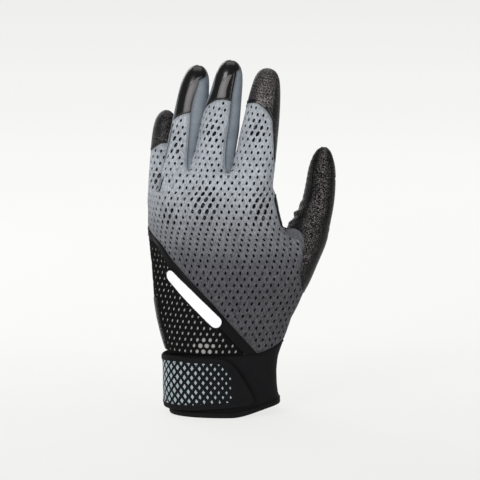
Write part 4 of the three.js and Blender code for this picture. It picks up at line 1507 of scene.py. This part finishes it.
# Strap: printed cloth with a taped edge, hook tape under its nose, loop tape on the cuff
strap = {
    "edge": [(176, 356.3), (189, 357.7), (205, 358.4), (218, 358.9), (226, 360.8), (231.7, 364), (237, 370),
             (242.4, 377.8), (247.4, 386), (251.4, 393.5), (253.4, 398.5), (253.6, 401.5), (252, 404),
             (248.6, 405.6), (242.4, 406.6), (225, 408.6), (205, 410), (185, 410.6)],
    "top": 39.8, "bottom": 4.9, "startAngle": -93, "tape": 3.8, "level": 4.2, "thick": 1.2,
    "diamondFinish": 62.0, "anchorWide": 10.5, "patchThick": 1.0,
}
# hook and loop tape: name, level, CAD node, body, finish, first and last column
patches = [("hook_tape", 2.75, "hook_patch", "strap", "hook", 212, 244),
           ("loop_tape", 1.35, "loop_patch", "hand", "loop", 198, 247)]


def makeStrap():
    m = strap
    path = [sideAt(m["top"], m["startAngle"])] + handMap.seen(m["edge"], m["level"])
    path = dense(path + [sideAt(m["bottom"], m["startAngle"])], 1.3)
    ahead = heading(path)
    inward = np.stack([ahead[:, 1], -ahead[:, 0]], axis=1)
    top, under, wide = m["level"], m["level"] - m["thick"], m["tape"]

    # tape folded over the edge: profile points are distance in from the edge and height off the form
    profile = [(0.0, (top + under) / 2), (0.12, top - 0.1), (0.5, top + 0.2), (1.6, top + 0.28),
               (3.3, top + 0.22), (wide, top - 0.05), (wide, under + 0.05), (3.3, under - 0.2),
               (0.6, under - 0.2), (0.12, under + 0.1)]
    uvs = np.array([point + side * across for point, side in zip(path, inward) for across, lift in profile])
    at, normal = handMap.place(uvs)
    lifts = np.tile([lift for across, lift in profile], len(path))
    parts = [(*stitchMesh(handMap, path + inward * across, lift), 1)
             for across, lift in ((3.0, top + 0.24), (wide + 1.0, top - 0.05))]
    tape = addMesh("strap_edge_tape", "tape", at + normal * lifts[:, None],
                   tubeFaces(len(path), len(profile)), uvs, parts=parts)
    faceOut(tape)
    dress(tape, ["strap_binding"], "strap")

    inset = path + inward * (wide - 0.7)
    closed = np.append(np.ones(len(path) - 1, bool), False)
    inset = inset[edgeDistance(inset, path, closed) > wide - 1.0]
    shape = joined((inset, False), (dense([inset[-1], inset[0]])[1:-1], False))
    low = float(shape[0][:, 0].min())
    finish["strap"] = makeStrapCloth(low, low + m["diamondFinish"])
    makePanel("strap_printed_cloth", handMap, shape, "strap", ["strap_face"], "strap",
              spacing=1.8, lift=top, thick=m["thick"] - 0.1, roll=0)

    for name, level, node, body, look, first, last in patches:
        points = handMap.seen([(first, 364), (232, 368), (last - 3, 388), (last, 400), (first, 403)], level)
        makePanel(name, handMap, patch(points), look, [node], body, lift=level,
                  thick=m["patchThick"], roll=0.2)

    # sewn end, with a box and a cross of stitches
    foot, start = sideAt(m["bottom"], m["startAngle"] - 1.0), sideAt(m["top"], m["startAngle"] - 1.0)
    last = sideAt(m["bottom"], m["startAngle"])[1]
    corners = [foot, start, (start[0] - m["anchorWide"], start[1]), (foot[0] - m["anchorWide"], last)]
    turns = ((-1.4, 1.5), (-1.4, -1.5), (1.5, -1.5), (1.5, 1.5))
    box = [(u + du, v + dv) for (u, v), (du, dv) in zip(corners, turns)]
    stitches = [(np.array([box[i], box[k]]), {}) for i, k in ((0, 1), (1, 2), (2, 3), (3, 0), (0, 2), (1, 3))]
    makePanel("strap_anchor_tape", handMap, patch(corners), "tape", ["strap_anchor"], "hand",
              spacing=1.8, lift=m["level"], thick=m["thick"], roll=0.3, stitches=stitches)


makeStrap()
print("strap ready")


# Fingers: mesh back, tip cover, two side strips and leather palm, each laid on the finger's own chart.
# Seams run from the root to the tip: (column, row) where the photo shows them, else (row, degrees).
stalls = {
    "index": {
        "low": 162.0, "right": [(275.2, 172.5), (274.9, 160), (274.4, 148), (273.8, 135), (273, 123.5),
                                (273.2, 112), (274.2, 100), (275.6, 90)], "rightEnd": 92,
        "leftAngles": [(172, -88), (140, -87), (110, -84), (90, -84)], "leftEnd": -90,
        "palmRight": 118, "palmLeft": -117, "crotch": (False, True),
        "top": [(246.6, 103.2), (251, 102.6), (258, 103.6), (265.4, 109), (270.5, 115.5), (273, 122)],
        "knuckles": [(256, 131, 9, 13)], "cover": "leather", "sides": ("leather", "side"),
        "perforated": True, "crease": [(132, 0.9), (160, 0.9)], "band": 2.2,
        "paintedReflection": [(256.2, 101), (261, 101.6), (266, 105.8), (264.6, 107.6), (260.4, 104), (256, 103.2)]},
    "middle": {
        "low": 162.0, "right": [(228, 172.5), (224.4, 163), (225, 149.5), (226.4, 136), (229.4, 119),
                                (231.4, 100.5), (234, 84), (236.6, 71)], "rightEnd": 95,
        "leftAngles": [(172, -92), (140, -90), (118, -84), (100, -56), (90, -50), (80, -56), (72, -70)],
        "leftEnd": -84, "palmRight": 116, "palmLeft": -112, "crotch": (True, True),
        "top": [(205, 107.5), (210, 103), (217, 99.8), (224, 99.4), (231.2, 101)],
        "knuckles": [(211, 132, 9, 13)], "cover": "gloss", "sides": ("side", "side"), "perforated": False,
        "paintedReflection": [(216.7, 98.0), (225, 97.6), (226.7, 89.7), (229.4, 81), (232, 74.5), (225.6, 76.7),
                  (221.3, 82), (218.5, 90.2)], "crease": [(126, 0.9), (158, 0.9)]},
    "ring": {
        "low": 162.0, "right": [(190.4, 172.5), (186.4, 163), (187.4, 145), (189, 126.5), (190.4, 111),
                                (193.5, 96), (198.2, 80)], "rightEnd": 112,
        "leftAngles": [(172, -62), (160, -44), (135, -40), (112, -42), (95, -58), (80, -70)], "leftEnd": -75,
        "palmRight": 138, "palmLeft": -97, "crotch": (True, True), "sink": 14, "tuck": (-1, 14.0),
        "top": [(167.5, 128), (172, 121.5), (178, 116.2), (184, 113.6), (190.2, 112.6)],
        "knuckles": [(174, 144, 8, 13)], "cover": "gloss", "sides": ("side", "side"), "perforated": False,
        "paintedReflection": [(183, 113.0), (189.6, 111.4), (191, 104), (193.7, 95), (197.4, 86.4), (199.4, 77),
                  (196.3, 78.2), (191.4, 82.7), (188.8, 87), (186, 95.2), (184.3, 104)],
        "crease": [(128, 0.9), (160, 0.9)]},
    "little": {
        "low": 148.0, "rightAngles": [(195, 104), (170, 98), (140, 90), (118, 84)], "rightEnd": 92,
        "leftAngles": [(195, -62), (170, -60), (140, -60), (118, -62)], "leftEnd": -64, "tuck": (1, 4.0),
        "palmRight": 146, "palmLeft": -97, "crotch": (False, True),
        "top": [(149, 154), (154, 147.6), (159.5, 144), (166, 142.4)],
        "knuckles": [(157.5, 180, 8, 12)], "cover": "leather", "sides": ("side", "leather"),
        "perforated": False, "crease": [(152, 0.8), (178, 0.8)]},
}
stallMesh = {"pitch": (4.35, 4.15), "small": (0.82, 1.22, 14), "big": (1.2, 2.05, 27), "thick": 0.7,
             "blend": 26, "ease": 9.0, "easeReach": 4.0, "liningDepth": 1.1, "capHeight": 6.5}


def atAngles(chart, entries):
    points = []
    for row, degrees in entries:
        u = math.radians(degrees) * chart.radius
        points.append((u, chart.atHeight(u, rowZ(row))))
    return points


def rootLine(chart, left, right, height, deeper=0.0):
    return [(u, max(v, 0.4)) for u, v in levelLine(chart, left, right, height, deeper)]


def rootEase(chart, height):
    # moves a stall's lowest millimetres on to the hand's surface, so that the two cloths meet without a step
    level = float(np.interp(height, handMap.C[:, 2], handMap.V))
    ring = handMap.place([(u, level) for u in np.arange(handMap.S[0, 0] - 4, handMap.S[0, -1] + 4, 0.3)])[0]
    turns = np.linspace(-math.pi, math.pi, 97) * chart.radius
    roots = np.array([chart.atHeight(u, height) for u in turns])
    moves = []
    for start in chart.place(np.stack([turns, roots], axis=1))[0]:
        move = ring[np.argmin(np.linalg.norm(ring - start, axis=1))] - start
        move[2] = 0
        moves.append(move * np.clip(1.6 - np.linalg.norm(move) / stallMesh["easeReach"] * 1.6, 0, 1))
    moves = np.array(moves)

    def ease(flat):
        u = (flat[:, 0] + math.pi * chart.radius) % (2 * math.pi * chart.radius) - math.pi * chart.radius
        share = np.clip(1 - (flat[:, 1] - np.interp(u, turns, roots)) / stallMesh["ease"], 0, 1)
        share = share * share * (3 - 2 * share)
        return np.stack([np.interp(u, turns, moves[:, k]) for k in range(3)], axis=1) * share[:, None]
    return ease, lambda u: np.interp(u, turns, roots)


def stallBend(name):
    root = fingerFrame(fingers[name])["root"]
    start = np.array((root[0], root[1], stalls[name]["low"])) * 0.001
    return {"from": "hand", "to": name, "start": start,
            "end": start + np.array((0, 0, stallMesh["blend"])) * 0.001}


def makeStall(name):
    m, chart, s = stalls[name], fingerMaps[name], stallMesh
    scale = chart.radius * math.pi / 180
    top = float(chart.V[-1])
    split = top - s["capHeight"]
    low = m["low"]
    bend = stallBend(name)
    ease, rootAt = rootEase(chart, low)

    def seamUp(line, end):
        # a side seam, cut at the root height, up to where the tip's own seams start
        line = dense(line)
        foot = chart.atHeight(line[0][0], low)
        line = np.vstack([[(line[0][0], foot)], [p for p in line if p[1] > foot + 0.5]])
        line = line[line[:, 1] < split - 2]
        return dense(np.vstack([line[::3], [line[-1]], [(end * scale, split)]]))

    def palmSeam(angle, end):
        return dense([(angle * scale, chart.atHeight(angle * scale, low)), (angle * scale, split - 16),
                      ((angle * 0.6 + end * 0.4) * scale, split - 5), (end * scale, split)])

    right = seamUp(chart.seen(m["right"]) if "right" in m else atAngles(chart, m["rightAngles"]),
                   m["rightEnd"])
    left = seamUp(atAngles(chart, m["leftAngles"]), m["leftEnd"])
    palmRight, palmLeft = palmSeam(m["palmRight"], m["rightEnd"]), palmSeam(m["palmLeft"], m["leftEnd"])
    over, overLeft = [[(m[end] * scale, split), (m[end] * scale, top)] for end in ("rightEnd", "leftEnd")]

    # mesh back, up to the arc under the tip cover
    arc = dense(chart.seen(m["top"]))
    arc = dense(np.vstack([[left[nearestIndex(left, arc[0])]], arc[2:-2],
                           [right[nearestIndex(right, arc[-1])]]]))
    lowRight, lowLeft = right[:nearestIndex(right, arc[-1]) + 1], left[:nearestIndex(left, arc[0]) + 1]
    foot = rootLine(chart, left[0][0], right[0][0], low)
    if "tuck" in m:
        side, deep = m["tuck"]
        foot = [(u, v - deep * min(1, max(0, (u * side / scale - 30) / 20))) for u, v in foot]
        if side == 1:
            lowRight = np.vstack([[lowRight[0] - (0, deep)], lowRight[1:]])
        else:
            lowLeft = np.vstack([[lowLeft[0] - (0, deep)], lowLeft])
    shape = joined((foot, False), (lowRight, True), (arc[::-1], True), (lowLeft[::-1], True))
    shapes = {"knuckles": m["knuckles"], "small": s["small"], "big": s["big"]}
    first = float(rootAt(0))

    def follow(u, v):
        return float(rootAt(u) - first) * min(1, max(0, 1 - (v - first) / 40))

    def tucked(flat, at, distance):
        return -0.7 * np.clip((rootAt(flat[:, 0]) - flat[:, 1] - 0.3) / 1.5, 0, 1)

    holes = lattice(chart, *shape, s["pitch"], lambda p: holeShape(p, shapes), origin=(0, first), clear=0.45,
                    follow=follow)
    makePanel(name + "_back_cloth", chart, shape, "mesh", [name + "_back_mesh"], bend,
              holes=holes, spacing=1.9, thick=s["thick"], roll=0.4, relief=tucked, ease=ease)
    makePanel(name + "_back_lining", chart, shape, "lining", [], bend, spacing=2.4,
              lift=-s["liningDepth"], thick=0.4, roll=0.1, gap=0.7, ease=ease)

    # tip cover over the end of the finger
    highRight, highLeft = right[nearestIndex(right, arc[-1]):], left[nearestIndex(left, arc[0]):]
    shape = sewn(arc, highRight, dense(over), [overLeft[1]], dense(overLeft)[::-1], highLeft[::-1])
    gloss = m["cover"] == "gloss"
    lift = 0.3 if gloss else 0.1
    holes = []
    if m["perforated"]:
        holes = lattice(chart, *shape, (2.3, 2.1), lambda p: (0.46, 0.52, 20), clear=0.9, sides=6)
        holes = [hole for hole in holes if arc[:, 1].max() + 3 < hole[:, 1].mean() < split - 1]
    makePanel(name + "_tip_" + m["cover"], chart, shape, "tip leather" if m["perforated"] else m["cover"],
              [name + "_tip_cover"], name, holes=holes, spacing=1.9,
              lift=lift, thick=1.1, roll=0.15 if m["perforated"] else 0.45, welded=True,
              stitches=[] if gloss else [(shifted(arc, 1.5)[2:-2], {})])
    if "band" in m:
        shape = sewn(arc, shifted(arc, m["band"])[::-1])
        makePanel(name + "_tip_band", chart, shape, "gloss", [], name, spacing=1.5,
                  lift=lift + 0.25, thick=0.6, roll=0.2, rollWidth=0.7)
    # a lighter grey patch on the tip cover or band: painted reflection of the light on the gloss
    if "paintedReflection" in m:
        shape = patch(chart.seen(m["paintedReflection"], lift), 1.0, True)
        makePanel(name + "_tip_painted_reflection", chart, shape, "painted reflection", [], name, spacing=1.5,
                  lift=lift + (0.4 if "band" in m else 0.22), thick=0.5, roll=0.15, rollWidth=0.7)

    # side strips
    for side, seam, palmEdge, key, inCrotch in ((1, right, palmRight, "inner", m["crotch"][1]),
                                                (-1, left, palmLeft, "outer", m["crotch"][0])):
        deeper = 5.0 if inCrotch else 0.0
        deeper = m["sink"] if side == -1 and "sink" in m else deeper
        line = rootLine(chart, *sorted((seam[0][0], palmEdge[0][0])), low, deeper)[::-side]
        look = m["sides"][0 if side == 1 else 1]
        piping = []
        if side == 1 and name in ("middle", "ring"):
            piping = [(seam[:nearestIndex(seam, chart.seen([m["right"][4]])[0])], {"radius": 0.42})]
        shape = joined((line, False), (seam, True), (palmEdge[::-1], True))
        makePanel(name + "_" + key + "_strip", chart, shape, look,
                  [name + "_" + key + "_side"], bend,
                  spacing=1.9, lift=-0.05, stitches=piping, ease=ease)

    # leather palm, with its flex creases
    across = 2 * math.pi * chart.radius
    overLeft = np.array(overLeft) + (across, 0)
    farLeft = palmLeft + (across, 0)
    foot = rootLine(chart, palmRight[0][0], farLeft[0][0], low)
    if "sink" in m:
        foot = [(u, v - m["sink"] * min(1, max(0, (u / scale - 185) / 20))) for u, v in foot]
        farLeft = np.vstack([[(farLeft[0][0], farLeft[0][1] - m["sink"])], farLeft])
    shape = joined((foot, False), (farLeft, True), (dense(overLeft), True), ([over[1]], True),
                   (dense(over)[::-1], True), (palmRight[::-1], True))

    def relief(flat, at, distance):
        height = 0.1 * np.sin(at[:, 0] * 0.8) * np.sin(at[:, 2] * 0.5)
        for row, deep in m["crease"]:
            height += crease(at[:, 2] - rowZ(row), 0.5 * deep, 1.1, 0.2 * deep, 2.4, 1.3)
        return height * np.clip(distance / 2, 0, 1) * np.clip((top - 5 - flat[:, 1]) / 4, 0, 1)

    makePanel(name + "_palm_panel", chart, shape, "palm leather", [name + "_palm_leather"], bend,
              spacing=1.9, thick=1.0, roll=0.4, relief=relief, ease=ease, welded=True)


for name in stalls:
    makeStall(name)
print("fingers ready")


# Thumb: back leather that starts on the hand, perforated cap, gusset towards the index finger, leather palm
thumbLook = {
    "cap": [(310.4, 163.4), (315, 170), (319, 175.6), (326, 178.4), (333.5, 179)],
    "gusset": [(283, 226.6), (290, 224), (297, 217), (304, 207), (309, 195), (311.6, 180), (311.4, 165)],
    "right": 95, "gussetEnd": -150, "capLeft": -62,
    "blendStart": (300, 250), "blendEnd": (316, 206), "bareTip": 5.5, "crease": 186,
    "dots": [[(315.2, 178.5), (315.6, 190), (315.2, 202), (314, 214), (311.5, 224)],
             [(319, 181), (319.4, 192), (319, 204), (317.5, 216), (314.5, 228)],
             [(323.4, 183), (324, 194), (323.6, 206), (321.5, 219), (318, 230)],
             [(328, 184), (328.6, 196), (328, 208), (325.5, 221)]],
}


def makeThumb():
    m, chart = thumbLook, thumbMap
    scale = chart.radius * math.pi / 180
    top = float(chart.V[-1])
    start, end = [np.array((columnX(x), 0, rowZ(y))) * 0.001 for x, y in (m["blendStart"], m["blendEnd"])]
    bend = {"from": "hand", "to": "thumb", "start": start, "end": end}
    cap, gusset = dense(chart.seen(m["cap"])), dense(chart.seen(m["gusset"]))
    seam = dense([chart.locate(pick(*p)) for p in lines["thumbSeam"]])
    right = m["right"] * scale
    low = chart.locate(handMap.place([borders["rightSide"][0]])[0][0])
    rightLow = max(float(low[1]), 2.0)
    corner = (float(low[0]), max(float(low[1]) - 1.5, 0.5))
    cap = dense(np.vstack([cap[:-1], [(right, cap[-1][1])]]))
    backRight = dense([(right, rightLow), (right, cap[-1][1])])
    shape = sewn(seam[::-1], gusset[1:], cap[nearestIndex(cap, gusset[-1]):], backRight[::-1],
                 dense([backRight[0], corner, seam[-1]], 1.3, False))

    def relief(flat, at, distance):
        # gathers where the thumb bends
        pixels = toPixel(at)
        wave = np.sin(pixels[:, 0] * 0.75 + pixels[:, 1] * 0.95)
        broad = np.exp(-((pixels[:, 1] - 232) / 9) ** 2) * np.sin(pixels[:, 1] * 0.8 - pixels[:, 0] * 0.25)
        return (0.5 * mound(pixels, 296, 219, 10, 9) * wave + 0.2 * broad) * np.clip(distance / 2.2, 0, 1)

    dots = []
    for line in m["dots"]:
        for u, v in dense(chart.seen(line), 2.6)[1:-1]:
            dots.append(np.array([(u + 0.5 * math.cos(a), v + 0.62 * math.sin(a))
                                  for a in np.linspace(0, 2 * math.pi, 6, endpoint=False)]))
    makePanel("thumb_back_leather", chart, shape, "thumb leather", ["thumb_leather", "thumb_back"],
              bend, holes=dots, spacing=1.8, lift=0.05, thick=1.1, roll=0.5, relief=relief,
              stitches=[(shifted(seam, 1.4)[3:-3], {})])

    capLeft = m["capLeft"] * scale
    leftSeam = dense([cap[0], (capLeft, (cap[0][1] + top) / 2), (capLeft * 1.2, top)])
    shape = sewn(cap, dense([(right, cap[-1][1]), (right, top)]), [(leftSeam[-1][0], top)], leftSeam[::-1])
    holes = lattice(chart, *shape, (2.3, 2.1), lambda p: (0.4, 0.45, 0), clear=1.4, sides=6)
    holes = [hole for hole in holes if hole[:, 1].mean() < top - m["bareTip"]]
    makePanel("thumb_cap_leather", chart, shape, "thumb leather", ["thumb_cap"], "thumb",
              holes=holes, spacing=1.8, lift=0.2, thick=1.2, roll=0.5,
              stitches=[(shifted(cap, 1.4)[2:-2], {})], welded=True)

    # mesh that fills the crotch, from the edge of the hand's mesh to the thumb's seam, darkened with painted
    # shade
    pixels = smoothLine(lines["thumbSeam"], 44)
    near = handMap.place(handMap.seen(pixels))[0]
    far = np.array([pick(*p) for p in pixels])
    steps = 7
    outer, inner, faces = [], [], []
    for a, b in zip(near, far):
        for share in np.linspace(0, 1, steps):
            at = a + (b - a) * share
            hit, normal = [np.array(found) for found in formTree.find_nearest(Vector(at))[:2]]
            outer.append(at + (hit - at) * math.sin(math.pi * share) + normal * 0.05)
            inner.append(outer[-1] - normal * 0.7)
    for i in range(len(near) - 1):
        for k in range(steps - 1):
            a = i * steps + k
            faces.append((a, a + steps, a + steps + 1, a + 1))
            faces.append(tuple(len(outer) + j for j in (a, a + 1, a + steps + 1, a + steps)))
    verts = np.array(outer + inner)
    web = addMesh("thumb_crotch_cloth", "shaded mesh", verts, faces, verts[:, [0, 2]])
    faceOut(web)
    dress(web, [], bend)

    far = m["gussetEnd"] * scale
    lowest = chart.seen([m["gusset"][0]])[0][1]
    edge = dense(np.vstack([gusset[::3], [gusset[-1]], leftSeam[2::3], [leftSeam[-1]]]))
    shape = sewn(edge, [(far, top)], dense([(far, top), (far, lowest)]), dense([(far, lowest), edge[0]]))

    def gathers(flat, at, distance):
        # the loose leather bunches where the thumb meets the hand
        pixels = toPixel(at)
        wave = np.sin((pixels[:, 1] + pixels[:, 0] * 0.35) * 0.8)
        height = 1.1 * mound(pixels, 292, 213, 11, 13) * wave + 0.12 * np.sin(pixels[:, 1] * 1.1)
        return height * np.clip(distance / 2.5, 0, 1)

    makePanel("thumb_gusset_leather", chart, shape, "soft leather", ["thumb_gusset"], bend,
              spacing=1.5, lift=-0.05, thick=1.0, roll=0.4, relief=gathers, welded=True)

    line = [chart.locate(palmPoint(*p)) for p in lines["thumbPalm"]]
    palmLow = dense([(u if u > 0 else u + 2 * math.pi * chart.radius, v) for u, v in line])
    farPalm = far + 2 * math.pi * chart.radius
    shape = sewn(dense([(right, rightLow), corner, palmLow[-1]], 1.3, False), palmLow[::-1],
                 dense([palmLow[0], (farPalm, lowest)]), dense([(farPalm, lowest), (farPalm, top)]),
                 [(right, top)], dense([(right, top), (right, rightLow)]))

    def palmRelief(flat, at, distance):
        return crease(at[:, 2] - rowZ(m["crease"]), 0.5, 1.2, 0.2, 2.6, 1.4) * np.clip(distance / 2, 0, 1)

    makePanel("thumb_palm_panel", chart, shape, "palm leather", ["thumb_palm"], bend, spacing=1.9,
              thick=1.0, roll=0.45, relief=palmRelief, welded=True)


makeThumb()
print("thumb ready")


# Pieces of the inner form that close the places where two charts meet, a little below the panels
closers = [
    {"name": "little_crotch_cloth", "low": (-46.5, -8, 145), "high": (-31, 6, 167), "look": "side",
     "slot": "side_cloth"},
    {"name": "little_root_cloth", "low": (-58, -10, 145), "high": (-44, 5, 161), "look": "mesh",
     "slot": "mesh_cloth", "finger": "little", "depth": 1.5},
    {"name": "little_fold_leather", "low": (-45.5, 5, 144), "high": (-29, 30, 166), "look": "palm leather",
     "slot": "leather"},
    {"name": "thumb_fold_leather", "low": (12, 3, 82), "high": (48, 30, 131), "look": "palm leather",
     "slot": "leather"},
    {"name": "index_fold_leather", "low": (19.5, -12, 121), "high": (34, 8, 148), "look": "leather",
     "slot": "leather"},
]


def makeCloser(m, thick=0.4):
    mesh, depth = form.data, m.get("depth", 0.5)
    co = readAll(mesh.vertices, "co", 3)
    within = ((co > m["low"]) & (co < m["high"])).all(axis=1)
    faces = [tuple(face.vertices) for face in mesh.polygons if within[list(face.vertices)].all()]
    used = sorted({i for face in faces for i in face})
    number = {old: new for new, old in enumerate(used)}
    faces = [tuple(number[i] for i in face) for face in faces]
    outward = np.array([mesh.vertices[i].normal for i in used])
    verts = np.concatenate([co[used] - outward * depth, co[used] - outward * (depth + thick)])
    faces += [tuple(i + len(used) for i in reversed(face)) for face in faces]
    obj = addMesh(m["name"], m["look"], verts, faces, verts[:, [0, 2]])
    dress(obj, [], stallBend(m["finger"]) if "finger" in m else "hand")


for entry in closers:
    makeCloser(entry)
print("folds closed")


bpy.data.objects.remove(form)
